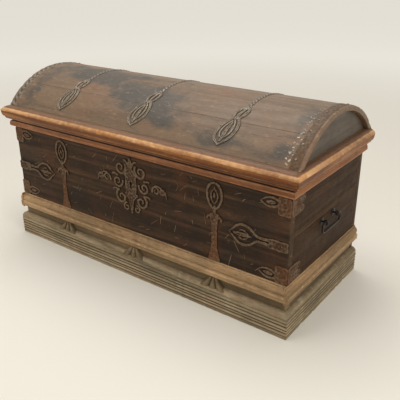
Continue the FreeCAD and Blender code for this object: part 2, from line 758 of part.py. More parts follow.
def lock():
    half_width = size["lock_width"] / 2
    plate_low = size["rim_level"] - size["lock_edge"] - size["lock_drop"]
    plate = box("lock_plate_blank", -half_width, inner_front, plate_low,
                size["lock_width"], size["lock_plate_thick"], size["lock_drop"])
    plate_depth = size["lock_plate_thick"] + size["overrun"] * 2
    opening = keyhole("lock_key", inner_front - size["overrun"], plate_depth)
    node("lock_plate", cut("lock_plate_cut", plate, opening))
    bolt_low = bolt_level - size["bolt_height"] / 2
    guides = []
    for index in range(2):
        x = bolt_tip - size["guide_length"] - size["guide_spacing"] * index - size["staple_room"]
        blank = box(f"guide_blank_{index}", x, lock_back, bolt_level - guide_height / 2,
                    size["guide_length"], guide_depth, guide_height)
        slot = box(f"guide_slot_{index}", x - size["overrun"], bolt_start_y - size["bolt_fit"],
                   bolt_low - size["bolt_fit"], size["guide_length"] + size["overrun"] * 2,
                   size["bolt_depth"] + size["bolt_fit"] * 2, size["bolt_height"] + size["bolt_fit"] * 2)
        guides.append(cut(f"guide_{index}", blank, [slot]))
    node("lock_guides", group("guides", guides))
    cover_low = plate_low + size["lock_edge"]
    cover_length = size["guide_spacing"] + size["guide_length"]
    node("lock_cover", box("cover", bolt_tip - cover_length - size["staple_room"], lock_back + guide_depth,
                           cover_low, cover_length, size["cover_thick"],
                           bolt_level + guide_height / 2 - cover_low))
    node("lock_bolt", box("bolt", bolt_tip - size["bolt_length"], bolt_start_y, bolt_low,
                          size["bolt_length"], size["bolt_depth"], size["bolt_height"]))
    eye_y = bolt_start_y - size["staple_room"]
    eye_depth = size["bolt_depth"] + size["staple_room"] * 2
    eye_low = bolt_low - size["staple_room"]
    eye_height = size["bolt_height"] + size["staple_room"] * 2
    loop_low = eye_low - size["staple_wall"]
    tongue_level = lid_level + size["staple_wall"]
    loop = box("staple_loop", lock_middle, eye_y - size["staple_wall"], loop_low, size["staple_thick"],
               eye_depth + size["staple_wall"] * 2, tongue_level + size["staple_wall"] - loop_low)
    half_plate = size["staple_plate_width"] / 2
    back = box("staple_back", -half_plate, inner_front, tongue_level, size["staple_plate_width"],
               size["lock_plate_thick"], size["staple_plate_height"])
    tongue = box("staple_tongue", lock_middle, inner_front, tongue_level, size["staple_thick"],
                 eye_y + eye_depth - inner_front, size["staple_wall"])
    eye = box("staple_eye", lock_middle - size["overrun"], eye_y, eye_low,
              size["staple_thick"] + size["overrun"] * 2, eye_depth, eye_height)
    node("lid_staple", cut("staple_cut", fuse("staple_fuse", [loop, back, tongue]), [eye]))


# Drop handles: two eyes on each end carry a bail that hangs from its turned-in ends
def bail_body(name):
    """A round bar swept along a C-shaped path in the plane of the end, with its ends turned in."""
    body = doc.addObject("PartDesign::Body", name)
    half = size["bail_width"] / 2 - size["bail_radius"]
    inner = size["eye_spacing"] / 2 - size["bail_stub"]
    drop = size["bail_drop"]
    bend = size["bail_bend"]
    corner_share = 1 - math.sqrt(0.5)
    stops = [
        (-inner, 0), (-(half - bend), 0),
        (-(half - bend * corner_share), -(bend * corner_share), -half, -bend),
        (-half, -(drop - bend)),
        (-(half - bend * corner_share), -(drop - bend * corner_share), -(half - bend), -drop),
        (half - bend, -drop),
        (half - bend * corner_share, -(drop - bend * corner_share), half, -(drop - bend)),
        (half, -bend),
        (half - bend * corner_share, -(bend * corner_share), half - bend, 0),
        (inner, 0),
    ]
    path = path_sketch(body, "YZ_Plane", stops, False)
    section = new_sketch(body, "XZ_Plane")
    section.addGeometry(Part.Circle(Vector(), Vector(0, 0, 1), size["bail_radius"].value), False)
    section.addConstraint(Sketcher.Constraint("Coincident", 0, 3, -1, 1))
    number = section.addConstraint(Sketcher.Constraint("Radius", 0, size["bail_radius"].value))
    section.setExpression(f"Constraints[{number}]", size["bail_radius"].text)
    section.setExpression("AttachmentOffset.Base.z", inner.text)
    doc.recompute()
    pipe = body.newObject("PartDesign::AdditivePipe", name + "_pipe")
    pipe.Profile = section
    pipe.Spine = path
    return body


def handles():
    eye_out = size["iron_thick"] + size["eye_standoff"] + size["eye_radius"]
    shank_out = eye_out - (size["eye_radius"] + size["eye_bore"]) / 2
    for side, way in (("left", -1), ("right", 1)):
        face = half_length * way
        eyes = []
        for index, end in enumerate((-1, 1)):
            y = y_shift + size["eye_spacing"] / 2 * end
            rose_start = face if way > 0 else face - size["iron_thick"]
            rose = rod(f"rose_{side}_{index}", "x", rose_start, y, size["handle_level"],
                       size["rose_radius"], size["iron_thick"])
            shank_start = face - size["board_thick"] if way > 0 else face - shank_out
            shank = rod(f"shank_{side}_{index}", "x", shank_start, y, size["handle_level"],
                        size["shank_radius"], size["board_thick"] + shank_out)
            ring = rod(f"ring_{side}_{index}", "y", face + eye_out * way, y - size["eye_thick"] / 2,
                       size["handle_level"], size["eye_radius"], size["eye_thick"])
            bore = rod(f"eye_bore_{side}_{index}", "y", face + eye_out * way,
                       y - size["eye_thick"] / 2 - size["overrun"], size["handle_level"],
                       size["eye_bore"], size["eye_thick"] + size["overrun"] * 2)
            blank = fuse(f"eye_blank_{side}_{index}", [rose, shank, ring])
            eyes.append(cut(f"eye_{side}_{index}", blank, [bore]))
        node(f"handle_eyes_{side}", group(f"eyes_{side}", eyes))
        bail = bail_body(f"bail_{side}")
        place(bail, face + eye_out * way, y_shift, size["handle_level"])
        node(f"handle_{side}", bail)


carcass()
plinth()
staves()
lid_frame()
lid_straps()
hinge_leaves()
front_straps()
corner_straps()
corner_irons()
escutcheon()
lock()
handles()
doc.recompute()

faults = [item.Name for item in doc.Objects if "Invalid" in item.State or "Error" in item.State]
faults += [thing.Label for thing in nodes if thing.Shape.isNull() or not thing.Shape.isValid()]
if faults:
    raise SystemExit(f"failed objects: {faults}")

os.makedirs("parts", exist_ok=True)
for thing in nodes:
    thing.Shape.exportStep(f"parts/{thing.Label}.step")
print(len(nodes), "nodes,", sum(len(thing.Shape.Solids) for thing in nodes), "solids")
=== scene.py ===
# %% [markdown]
# # A dome-lid oak coffer
# The chest is a dark oak box on a moulded plinth, under a coopered dome lid with wrought iron straps.
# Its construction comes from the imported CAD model, which is loaded as a fixed frame in metres.
# The cells below dress that frame: camera, light, finishes, and then the pieces one kind at a time.

# %% Load the frame
import json
import math

import bpy
import numpy as np
from mathutils import Matrix, Vector

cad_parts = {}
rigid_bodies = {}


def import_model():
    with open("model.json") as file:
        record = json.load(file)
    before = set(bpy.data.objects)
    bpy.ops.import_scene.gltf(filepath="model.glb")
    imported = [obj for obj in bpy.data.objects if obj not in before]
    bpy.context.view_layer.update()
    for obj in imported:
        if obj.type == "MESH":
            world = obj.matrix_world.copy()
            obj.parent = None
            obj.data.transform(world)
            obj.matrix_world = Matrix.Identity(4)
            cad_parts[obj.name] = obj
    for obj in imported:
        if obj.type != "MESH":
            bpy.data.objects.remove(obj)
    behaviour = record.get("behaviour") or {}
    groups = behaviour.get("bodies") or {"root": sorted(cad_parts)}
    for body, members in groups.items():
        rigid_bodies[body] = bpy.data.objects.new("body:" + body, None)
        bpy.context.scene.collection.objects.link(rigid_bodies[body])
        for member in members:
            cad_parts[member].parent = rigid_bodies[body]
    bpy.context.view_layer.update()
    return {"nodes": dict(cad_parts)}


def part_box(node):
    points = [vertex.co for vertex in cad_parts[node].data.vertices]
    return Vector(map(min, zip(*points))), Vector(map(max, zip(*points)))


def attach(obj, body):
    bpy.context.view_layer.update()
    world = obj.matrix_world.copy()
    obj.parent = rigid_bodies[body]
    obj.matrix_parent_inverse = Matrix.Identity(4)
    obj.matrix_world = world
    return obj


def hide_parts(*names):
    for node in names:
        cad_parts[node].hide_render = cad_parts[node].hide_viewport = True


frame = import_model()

MM = 0.001

# %% [markdown]
# ## Camera
# A pinhole camera was fitted to the corners of the mouldings in the photograph.
# It stands to the right of the chest and looks down on it; a small roll takes out the tilt of the picture.
# The rotation is built from three axes, because a camera looks along its own -Z.

# %% Camera
VIEW_AZIMUTH = math.radians(36.740)
VIEW_ELEVATION = math.radians(23.901)
VIEW_ROLL = math.radians(-0.380)
VIEW_DISTANCE = 2.27365
VIEW_TARGET = Vector((0.121875, 0, 0.264129))
VIEW_LENS = 50.67

back = Vector((
    math.sin(VIEW_AZIMUTH) * math.cos(VIEW_ELEVATION),
    -math.cos(VIEW_AZIMUTH) * math.cos(VIEW_ELEVATION),
    math.sin(VIEW_ELEVATION),
))
right = Vector((0, 0, 1)).cross(back).normalized()
up = back.cross(right)
rolled_right = right * math.cos(VIEW_ROLL) + up * math.sin(VIEW_ROLL)
rolled_up = up * math.cos(VIEW_ROLL) - right * math.sin(VIEW_ROLL)
camera = bpy.data.objects.new("camera", bpy.data.cameras.new("camera"))
camera.data.lens = VIEW_LENS
axes = Matrix((rolled_right, rolled_up, back)).transposed().to_4x4()
camera.matrix_world = Matrix.Translation(VIEW_TARGET + back * VIEW_DISTANCE) @ axes
bpy.context.collection.objects.link(camera)
bpy.context.scene.camera = camera
bpy.context.scene.view_settings.view_transform = "Standard"
print("camera at", [round(value, 3) for value in camera.matrix_world.translation])

# %% [markdown]
# ## Node helpers
# Finishes are node trees, so a few small functions keep them readable.
# Each adds one node, fills its sockets with numbers, colours or other nodes' outputs, and returns an output.
# Colours are written as they look on a screen, 0 to 255, and turned into the linear values that shaders use.


# %% Node helpers
def screen_colour(red, green, blue):
    """A screen colour made linear: each share is raised to the power 2.2, and a fourth value is the alpha."""
    return tuple((share / 255) ** 2.2 for share in (red, green, blue)) + (1.0,)


def add_node(tree, kind, sockets, **settings):
    node = tree.nodes.new(kind)
    for name, value in settings.items():
        setattr(node, name, value)
    for name, value in sockets.items():
        if isinstance(value, bpy.types.NodeSocket):
            tree.links.new(value, node.inputs[name])
        else:
            node.inputs[name].default_value = value
    return node


def maths(tree, operation, first, second=0.0):
    return add_node(tree, "ShaderNodeMath", {0: first, 1: second}, operation=operation).outputs[0]


def noise(tree, vector, scale, detail=2.0, roughness=0.5):
    sockets = {"Vector": vector, "Scale": scale, "Detail": detail, "Roughness": roughness}
    return add_node(tree, "ShaderNodeTexNoise", sockets).outputs[0]


def span(tree, value, low, high, to_low=0.0, to_high=1.0):
    """Eases a value from one range to another and holds it at the ends."""
    sockets = {"Value": value, "From Min": low, "From Max": high, "To Min": to_low, "To Max": to_high}
    return add_node(tree, "ShaderNodeMapRange", sockets, interpolation_type="SMOOTHSTEP").outputs[0]


def mix(tree, share, first, second):
    return add_node(tree, "ShaderNodeMix", {0: share, 6: first, 7: second}, data_type="RGBA").outputs[2]


def tone_ramp(tree, value, tones):
    """A ramp that runs evenly through a list of colours."""
    node = add_node(tree, "ShaderNodeValToRGB", {0: value})
    stops = node.color_ramp.elements
    for index, tone in enumerate(tones):
        place = index / (len(tones) - 1)
        element = stops[index] if index < 2 else stops.new(place)
        element.position = place
        element.color = tone
    return node.outputs[0]


print("node helpers ready")

# %% [markdown]
# ## Floor and light
# The chest stands on a plain pale floor in a soft studio light.
# One wide lamp hangs overhead and gives the dome its satin sheen; one at the right lights the end
# and its mouldings, and one fills in the front.
# The world is as pale as the floor, so that no horizon shows behind the chest.
# The world alone lights the floor to WORLD_LIGHT * PALE * PALE. Far from the chest, where it is seen,
# the floor is given what it lacks of the world's own paleness; near the chest it keeps its shadow.

# %% Floor and light
FLOOR_SIZE = 30.0
PALE = screen_colour(226, 221, 210)
# Each lamp: its place, what it is aimed at, its width in metres and its power in watts.
LAMPS = {
    "overhead": ((-0.5, 0.3, 2.9), (0, 0, 0.3), 2.6, 62),
    "right_side": ((3.0, -0.9, 1.9), (0.3, 0, 0.4), 1.8, 46),
    "front_fill": ((-1.6, -3.4, 1.7), (0, 0, 0.3), 2.4, 44),
}

WORLD_LIGHT = 0.55
GLOW = tuple(share * (1 - WORLD_LIGHT * share) for share in PALE[:3]) + (1.0,)
GLOW_REACH = (0.9, 5.5)


def seen_rays(tree):
    """1 for rays that show a thing, straight, mirrored or through glass, and 0 for rays that light one."""
    rays = add_node(tree, "ShaderNodeLightPath", {}).outputs
    seen = maths(tree, "MAXIMUM", rays["Is Camera Ray"], rays["Is Glossy Ray"])
    return maths(tree, "MAXIMUM", seen, rays["Is Transmission Ray"])


floor_mesh = bpy.data.meshes.new("floor")
half = FLOOR_SIZE / 2
floor_corners = [(-half, -half, 0), (half, -half, 0), (half, half, 0), (-half, half, 0)]
floor_mesh.from_pydata(floor_corners, [], [(0, 1, 2, 3)])
floor = bpy.data.objects.new("floor", floor_mesh)
bpy.context.collection.objects.link(floor)
floor_finish = bpy.data.materials.new("pale_floor")
floor_finish.use_nodes = True
floor_tree = floor_finish.node_tree
floor_shader = floor_tree.nodes["Principled BSDF"]
floor_shader.inputs["Base Color"].default_value = PALE
floor_shader.inputs["Roughness"].default_value = 1.0
floor_shader.inputs["Specular IOR Level"].default_value = 0.0
floor_shader.inputs["Emission Color"].default_value = GLOW
floor_place = add_node(floor_tree, "ShaderNodeTexCoord", {}).outputs["Object"]
away = add_node(floor_tree, "ShaderNodeVectorMath", {0: floor_place}, operation="LENGTH").outputs["Value"]
glow = maths(floor_tree, "MULTIPLY", span(floor_tree, away, *GLOW_REACH), seen_rays(floor_tree))
floor_tree.links.new(glow, floor_shader.inputs["Emission Strength"])
floor_mesh.materials.append(floor_finish)

world = bpy.data.worlds.new("studio")
bpy.context.scene.world = world
world.use_nodes = True
sky = world.node_tree
sky.nodes["Background"].inputs["Color"].default_value = PALE
sky.links.new(span(sky, seen_rays(sky), 0, 1, WORLD_LIGHT, 1.0), sky.nodes["Background"].inputs["Strength"])

for name, (place, aim, width, power) in LAMPS.items():
    lamp = bpy.data.lights.new(name, "AREA")
    lamp.size = width
    lamp.energy = power
    holder = bpy.data.objects.new(name, lamp)
    holder.location = place
    holder.rotation_euler = (Vector(aim) - Vector(place)).to_track_quat("-Z", "Y").to_euler()
    bpy.context.collection.objects.link(holder)
print("lamps", list(LAMPS))

# %% [markdown]
# ## What age and painted light do to oak and iron
# Four effects turn up on nearly every surface, so each is a node group that is built once.
# Oak grain is fine fibre, broad figure and dark pores. Old marks are blotches, mottling, specks and scuffs.
# Wear and grime read two numbers that the meshes carry: how near a point is to an arris,
# and how deep in a hollow. On some pieces these also hold painted highlight and painted shade.
# Hammered iron is shallow round dents with rust that spreads from the pits.


# %% Shader groups
def new_group(name, inputs, outputs):
    tree = bpy.data.node_groups.new(name, "ShaderNodeTree")
    for socket, kind in inputs.items():
        tree.interface.new_socket(socket, in_out="INPUT", socket_type=kind)
    for socket in outputs:
        tree.interface.new_socket(socket, in_out="OUTPUT", socket_type="NodeSocketFloat")
    return tree, tree.nodes.new("NodeGroupInput").outputs, tree.nodes.new("NodeGroupOutput")


def fill_outputs(tree, output, values):
    for name, value in values.items():
        tree.links.new(value, output.inputs[name])


VECTOR = "NodeSocketVector"
FLOAT = "NodeSocketFloat"

oak_grain, given, result = new_group("oak grain", {"Vector": VECTOR}, ("Fibre", "Figure", "Pores"))
broad = noise(oak_grain, given["Vector"], 9.0, 3.0)
figure = maths(oak_grain, "PINGPONG", maths(oak_grain, "MULTIPLY", broad, 15.0), 1.0)
fill_outputs(oak_grain, result, {
    "Fibre": noise(oak_grain, given["Vector"], 330.0, 4.0, 0.65),
    "Figure": figure,
    "Pores": span(oak_grain, noise(oak_grain, given["Vector"], 760.0, 1.0), 0.58, 0.70),
})

old_marks, given, result = new_group(
    "old marks", {"Vector": VECTOR, "Scale": FLOAT}, ("Blotch", "Mottle", "Speck", "Scuff"))
mottle_scale = maths(old_marks, "MULTIPLY", given["Scale"], 7.0)
speck_scale = maths(old_marks, "MULTIPLY", given["Scale"], 45.0)
sockets = {"Vector": given["Vector"], "Rotation": (0.5, 0.3, 0.4), "Scale": (0.35, 1.0, 1.0)}
slanted = add_node(old_marks, "ShaderNodeMapping", sockets).outputs[0]
fill_outputs(old_marks, result, {
    "Blotch": span(old_marks, noise(old_marks, given["Vector"], given["Scale"], 5.0, 0.6), 0.40, 0.64),
    "Mottle": noise(old_marks, given["Vector"], mottle_scale, 4.0, 0.6),
    "Speck": span(old_marks, noise(old_marks, given["Vector"], speck_scale, 2.0), 0.66, 0.76),
    "Scuff": span(old_marks, noise(old_marks, slanted, speck_scale, 3.0, 0.7), 0.56, 0.70),
})

# The edge mark holds wear, and on some pieces painted highlight; the hollow mark holds grime, and on some
# pieces painted shade.
wear_grime_and_painted_light, given, result = new_group("worn edges", {"Vector": VECTOR, "Amount": FLOAT}, ("WornAndHighlight", "GrimeAndShade"))
wear_and_highlight_mark = add_node(wear_grime_and_painted_light, "ShaderNodeAttribute", {}, attribute_name="edge").outputs["Fac"]
grime_and_shade_mark = add_node(wear_grime_and_painted_light, "ShaderNodeAttribute", {}, attribute_name="hollow").outputs["Fac"]
ragged = maths(wear_grime_and_painted_light, "SUBTRACT", noise(wear_grime_and_painted_light, given["Vector"], 60.0, 5.0, 0.65), 0.5)
ragged = maths(wear_grime_and_painted_light, "MULTIPLY", ragged, 0.45)
rubbed = maths(wear_grime_and_painted_light, "MULTIPLY", wear_and_highlight_mark, given["Amount"])
fill_outputs(wear_grime_and_painted_light, result, {
    "WornAndHighlight": span(wear_grime_and_painted_light, maths(wear_grime_and_painted_light, "ADD", rubbed, ragged), 0.15, 0.95),
    "GrimeAndShade": span(wear_grime_and_painted_light, maths(wear_grime_and_painted_light, "ADD", grime_and_shade_mark, ragged), 0.25, 0.70),
})

hammered_iron, given, result = new_group("hammered iron", {"Vector": VECTOR}, ("Dents", "Rust", "Pits"))
sockets = {"Vector": given["Vector"], "Scale": 130.0, "Smoothness": 0.6}
dents = add_node(hammered_iron, "ShaderNodeTexVoronoi", sockets, feature="SMOOTH_F1").outputs[0]
pits = noise(hammered_iron, given["Vector"], 420.0, 4.0, 0.7)
fill_outputs(hammered_iron, result, {
    "Dents": dents,
    "Rust": span(hammered_iron, noise(hammered_iron, given["Vector"], 26.0, 6.0, 0.7), 0.44, 0.66),
    "Pits": span(hammered_iron, pits, 0.52, 0.72),
})
print("groups", [tree.name for tree in (oak_grain, old_marks, wear_grime_and_painted_light, hammered_iron)])

# %% [markdown]
# ## Oak finishes
# All the wood is oak, but each place has aged its own way: the dome is grey-brown with blue-grey stains,
# the mouldings are rubbed to a warm polish, the front is nearly black, and the plinth is pale and dry.
# One function builds them all. The grain follows a stretched copy of the object coordinates,
# so boards that run along the chest and boards that run across it take the same tones on a different axis.


# %% Oak finishes
def group_node(tree, group, sockets):
    return add_node(tree, "ShaderNodeGroup", sockets, node_tree=group).outputs


GRAIN_STRETCH = {"x": (0.045, 1.0, 1.0), "y": (1.0, 0.045, 1.0)}

OAK_TONES = {
    "dome": {
        "tones": ((80, 65, 51), (109, 90, 72), (128, 108, 87)),
        "blotch": (120, 88, 64), "stain": (62, 62, 59), "worn_and_highlight": (150, 127, 101), "grime_and_shade": (44, 35, 28),
        "marks": 2.6, "shine": (0.38, 0.56), "relief": 0.3, "rubbed": 0.6, "specular": 0.26,
        "figure": 0.30, "scuff": 0.40,
    },
    "moulding": {
        "tones": ((54, 27, 11), (110, 65, 31), (158, 103, 54)),
        "blotch": (92, 50, 25), "stain": (108, 84, 66), "worn_and_highlight": (248, 196, 142), "grime_and_shade": (24, 14, 8),
        "marks": 6.0, "shine": (0.34, 0.52), "relief": 0.4, "rubbed": 0.9, "specular": 0.20,
        "figure": 0.62, "scuff": 0.12,
    },
    "rim": {
        "tones": ((72, 40, 22), (124, 78, 46), (160, 108, 70)),
        "blotch": (96, 56, 34), "stain": (92, 71, 60), "worn_and_highlight": (206, 150, 106), "grime_and_shade": (24, 15, 9),
        "marks": 6.0, "shine": (0.38, 0.56), "relief": 0.4, "rubbed": 0.8, "specular": 0.18,
        "figure": 0.55, "scuff": 0.12,
    },
    "front": {
        "tones": ((31, 23, 17), (59, 44, 32), (92, 69, 51)),
        "blotch": (37, 35, 33), "stain": (78, 51, 37), "worn_and_highlight": (108, 86, 64), "grime_and_shade": (15, 12, 9),
        "marks": 3.2, "shine": (0.46, 0.64), "relief": 0.6, "rubbed": 0.15, "specular": 0.10,
        "figure": 0.45, "scuff": 0.16,
    },
    # The end boards' tones are darkened in place of a dimmer right-hand lamp: painted shade on the ends.
    "end": {
        "tones": ((36, 25, 17), (56, 40, 27), (78, 58, 41)),
        "blotch": (46, 32, 22), "stain": (68, 50, 34), "worn_and_highlight": (104, 82, 60), "grime_and_shade": (22, 16, 12),
        "marks": 3.6, "shine": (0.46, 0.64), "relief": 0.5, "rubbed": 0.30, "specular": 0.08,
        "figure": 0.45, "scuff": 0.14,
    },
    "cap": {
        "tones": ((88, 66, 43), (150, 118, 83), (188, 154, 114)),
        "blotch": (114, 94, 68), "stain": (120, 92, 64), "worn_and_highlight": (216, 184, 142), "grime_and_shade": (38, 28, 19),
        "marks": 5.0, "shine": (0.54, 0.72), "relief": 1.0, "rubbed": 0.8, "specular": 0.25,
        "figure": 0.55, "scuff": 0.16,
    },
    "plinth": {
        "tones": ((68, 57, 42), (124, 108, 83), (174, 156, 126)),
        "blotch": (102, 92, 72), "stain": (136, 105, 78), "worn_and_highlight": (192, 176, 146), "grime_and_shade": (36, 29, 20),
        "marks": 4.6, "shine": (0.60, 0.78), "relief": 1.4, "rubbed": 0.85, "specular": 0.20,
        "figure": 0.62, "scuff": 0.20,
    },
    "recess": {
        "tones": ((56, 45, 31), (98, 81, 57), (130, 110, 81)),
        "blotch": (76, 66, 49), "stain": (100, 77, 54), "worn_and_highlight": (146, 124, 93), "grime_and_shade": (30, 24, 16),
        "marks": 5.0, "shine": (0.60, 0.78), "relief": 0.8, "rubbed": 0.5, "specular": 0.25,
        "figure": 0.45, "scuff": 0.12,
    },
    "lid_end": {
        "tones": ((58, 50, 42), (88, 78, 67), (108, 96, 84)),
        "blotch": (72, 62, 54), "stain": (62, 56, 50), "worn_and_highlight": (128, 114, 98), "grime_and_shade": (32, 27, 22),
        "marks": 4.0, "shine": (0.46, 0.62), "relief": 0.4, "rubbed": 0.5, "specular": 0.40,
        "figure": 0.45, "scuff": 0.12,
    },
    "scratch": {
        "tones": ((92, 75, 56), (124, 105, 82), (150, 130, 104)),
        "blotch": (86, 70, 54), "stain": (86, 70, 54), "worn_and_highlight": (142, 125, 101), "grime_and_shade": (50, 40, 31),
        "marks": 9.0, "shine": (0.60, 0.80), "relief": 0.3, "rubbed": 0.6, "specular": 0.20,
        "figure": 0.45, "scuff": 0.0,
    },
    "inside": {
        "tones": ((104, 76, 50), (146, 112, 78), (174, 140, 102)),
        "blotch": (120, 92, 64), "stain": (96, 74, 54), "worn_and_highlight": (188, 156, 118), "grime_and_shade": (54, 41, 29),
        "marks": 3.0, "shine": (0.62, 0.80), "relief": 0.7, "rubbed": 0.6, "specular": 0.25,
        "figure": 0.45, "scuff": 0.10,
    },
}


def oak(name, axis):
    """Oak of one tone: grain picks the colour, stains shift it, rubbing and painted highlight lighten it, and
    soiling and painted shade darken it.
    """
    look = OAK_TONES[name]
    colours = {key: screen_colour(*look[key]) for key in ("blotch", "stain", "worn_and_highlight", "grime_and_shade")}
    material = bpy.data.materials.new(f"oak_{name}_{axis}")
    material.use_nodes = True
    tree = material.node_tree
    shader = tree.nodes["Principled BSDF"]
    place = add_node(tree, "ShaderNodeTexCoord", {}).outputs["Object"]
    along = add_node(tree, "ShaderNodeMapping", {"Vector": place, "Scale": GRAIN_STRETCH[axis]}).outputs[0]
    grain = group_node(tree, oak_grain, {"Vector": along})
    marks = group_node(tree, old_marks, {"Vector": place, "Scale": look["marks"]})
    wear = group_node(tree, wear_grime_and_painted_light, {"Vector": place, "Amount": 0.75})
    stained = add_node(tree, "ShaderNodeAttribute", {}, attribute_name="stain").outputs["Fac"]
    streak = maths(tree, "MULTIPLY_ADD", grain["Figure"], look["figure"])
    tree.links.new(maths(tree, "MULTIPLY", grain["Fibre"], 0.62), streak.node.inputs[2])
    colour = tone_ramp(tree, streak, [screen_colour(*tone) for tone in look["tones"]])
    colour = mix(tree, maths(tree, "MULTIPLY", marks["Blotch"], 0.55), colour, colours["blotch"])
    streaky = maths(tree, "MULTIPLY", maths(tree, "SUBTRACT", grain["Figure"], 0.5), 0.22)
    uneven = maths(tree, "ADD", streaky, maths(tree, "SUBTRACT", marks["Mottle"], 0.5))
    broken = maths(tree, "ADD", stained, uneven)
    soaked = maths(tree, "MULTIPLY", span(tree, broken, 0.14, 0.84), 0.82)
    colour = mix(tree, soaked, colour, colours["stain"])
    colour = mix(tree, maths(tree, "MULTIPLY", marks["Scuff"], look["scuff"]), colour, colours["worn_and_highlight"])
    colour = mix(tree, maths(tree, "MULTIPLY", grain["Pores"], 0.5), colour, colours["grime_and_shade"])
    # Painted highlight: this wear mix also lays the highlights that some pieces carry in their edge mark.
    colour = mix(tree, maths(tree, "MULTIPLY", wear["WornAndHighlight"], look["rubbed"]), colour, colours["worn_and_highlight"])
    colour = mix(tree, maths(tree, "MULTIPLY", marks["Speck"], 0.35), colour, colours["grime_and_shade"])
    # Painted shade: this grime mix also lays the shade that some pieces carry in their hollow mark.
    colour = mix(tree, maths(tree, "MULTIPLY", wear["GrimeAndShade"], 0.8), colour, colours["grime_and_shade"])
    tree.links.new(colour, shader.inputs["Base Color"])
    shader.inputs["Specular IOR Level"].default_value = look["specular"]
    gloss = maths(tree, "MULTIPLY_ADD", marks["Mottle"], 0.6)
    tree.links.new(maths(tree, "MULTIPLY", grain["Fibre"], 0.4), gloss.node.inputs[2])
    tree.links.new(span(tree, gloss, 0.3, 0.7, *look["shine"]), shader.inputs["Roughness"])
    depth = maths(tree, "SUBTRACT", grain["Fibre"], maths(tree, "MULTIPLY", grain["Pores"], 0.6))
    depth = maths(tree, "ADD", depth, maths(tree, "MULTIPLY", marks["Mottle"], 0.8))
    sockets = {"Strength": 0.6, "Distance": look["relief"] * MM, "Height": depth}
    tree.links.new(add_node(tree, "ShaderNodeBump", sockets).outputs[0], shader.inputs["Normal"])
    return material


OAK = {(name, axis): oak(name, axis) for name in OAK_TONES for axis in ("x", "y")}
print("oak finishes", len(OAK))

# %% [markdown]
# ## Iron finishes
# The straps were forged by hand, blackened, and have rusted brown where hands and damp reach them.
# The lock is filed iron, brighter where it slides, and the drop handles are nearly black.
# Dents and pits feed the bump, and rust takes the shine away where it sits.
# Some pieces carry a stain of their own, a bloom of brighter rust.


# %% Iron finishes
IRON_TONES = {
    "strap": {
        "bare": (136, 125, 109), "dark": (60, 52, 44), "rust": (112, 84, 60),
        "metal": 0.30, "specular": 0.40, "shine": (0.44, 0.70),
    },
    # The front iron's bare colour also serves as painted highlight on crests, and its dark colour as painted
    # shade at their feet.
    "front": {
        "bare": (112, 93, 73), "dark": (27, 20, 15), "rust": (72, 46, 30),
        "metal": 0.05, "specular": 0.12, "shine": (0.46, 0.74),
    },
    "band": {
        "bare": (98, 84, 67), "dark": (62, 51, 40), "rust": (92, 70, 51),
        "metal": 0.15, "specular": 0.18, "shine": (0.46, 0.68),
    },
    "remains": {
        "bare": (190, 180, 160), "dark": (128, 117, 99), "rust": (150, 132, 107),
        "metal": 0.05, "specular": 0.20, "shine": (0.60, 0.80),
    },
    "handle": {
        "bare": (48, 44, 41), "dark": (20, 18, 17), "rust": (54, 38, 29),
        "metal": 0.60, "specular": 0.50, "shine": (0.36, 0.58),
    },
    "lock": {
        "bare": (138, 132, 124), "dark": (84, 78, 72), "rust": (104, 74, 54),
        "metal": 0.85, "specular": 0.50, "shine": (0.28, 0.50),
    },
}
RUST_BLOOM = screen_colour(112, 70, 44)


def iron(name):
    """Forged iron: dark in its hollows and dents, bare on its edges, with patches of rust; on ornament the
    hollows also take painted shade and the edges painted highlight.
    """
    look = IRON_TONES[name]
    bare, dark, rust = (screen_colour(*look[key]) for key in ("bare", "dark", "rust"))
    material = bpy.data.materials.new(f"iron_{name}")
    material.use_nodes = True
    tree = material.node_tree
    shader = tree.nodes["Principled BSDF"]
    place = add_node(tree, "ShaderNodeTexCoord", {}).outputs["Object"]
    forged = group_node(tree, hammered_iron, {"Vector": place})
    wear = group_node(tree, wear_grime_and_painted_light, {"Vector": place, "Amount": 0.95})
    colour = mix(tree, span(tree, forged["Dents"], 0.1, 0.9), dark, bare)
    colour = mix(tree, maths(tree, "MULTIPLY", forged["Rust"], 0.75), colour, rust)
    bloom = add_node(tree, "ShaderNodeAttribute", {}, attribute_name="stain").outputs["Fac"]
    colour = mix(tree, maths(tree, "MULTIPLY", bloom, 0.7), colour, RUST_BLOOM)
    colour = mix(tree, maths(tree, "MULTIPLY", wear["WornAndHighlight"], 0.8), colour, bare)
    colour = mix(tree, maths(tree, "MULTIPLY", wear["GrimeAndShade"], 0.85), colour, dark)
    tree.links.new(colour, shader.inputs["Base Color"])
    shader.inputs["Specular IOR Level"].default_value = look["specular"]
    dull = maths(tree, "ADD", forged["Rust"], maths(tree, "MULTIPLY", forged["Pits"], 0.5))
    tree.links.new(span(tree, dull, 0.0, 1.2, *look["shine"]), shader.inputs["Roughness"])
    metal = span(tree, forged["Rust"], 0.0, 1.0, look["metal"], look["metal"] * 0.3)
    tree.links.new(metal, shader.inputs["Metallic"])
    depth = maths(tree, "SUBTRACT", forged["Dents"], maths(tree, "MULTIPLY", forged["Pits"], 0.25))
    bump = add_node(tree, "ShaderNodeBump", {"Strength": 0.5, "Distance": 0.6 * MM, "Height": depth})
    tree.links.new(bump.outputs[0], shader.inputs["Normal"])
    return material


IRON = {name: iron(name) for name in IRON_TONES}
print("iron finishes", list(IRON))

# %% [markdown]
# ## From arrays to pieces
# Every new piece is one or more closed shells, each an array of points with its quads and end caps.
# A closed shell has a signed volume: its triangles' corners multiplied out, summed and divided by 6.
# Where that is below 0 the faces look inwards and are turned round.
# Sharp arrises keep a crease; the rest is shaded smooth.


# %% Piece helpers
CREASE = math.radians(38)


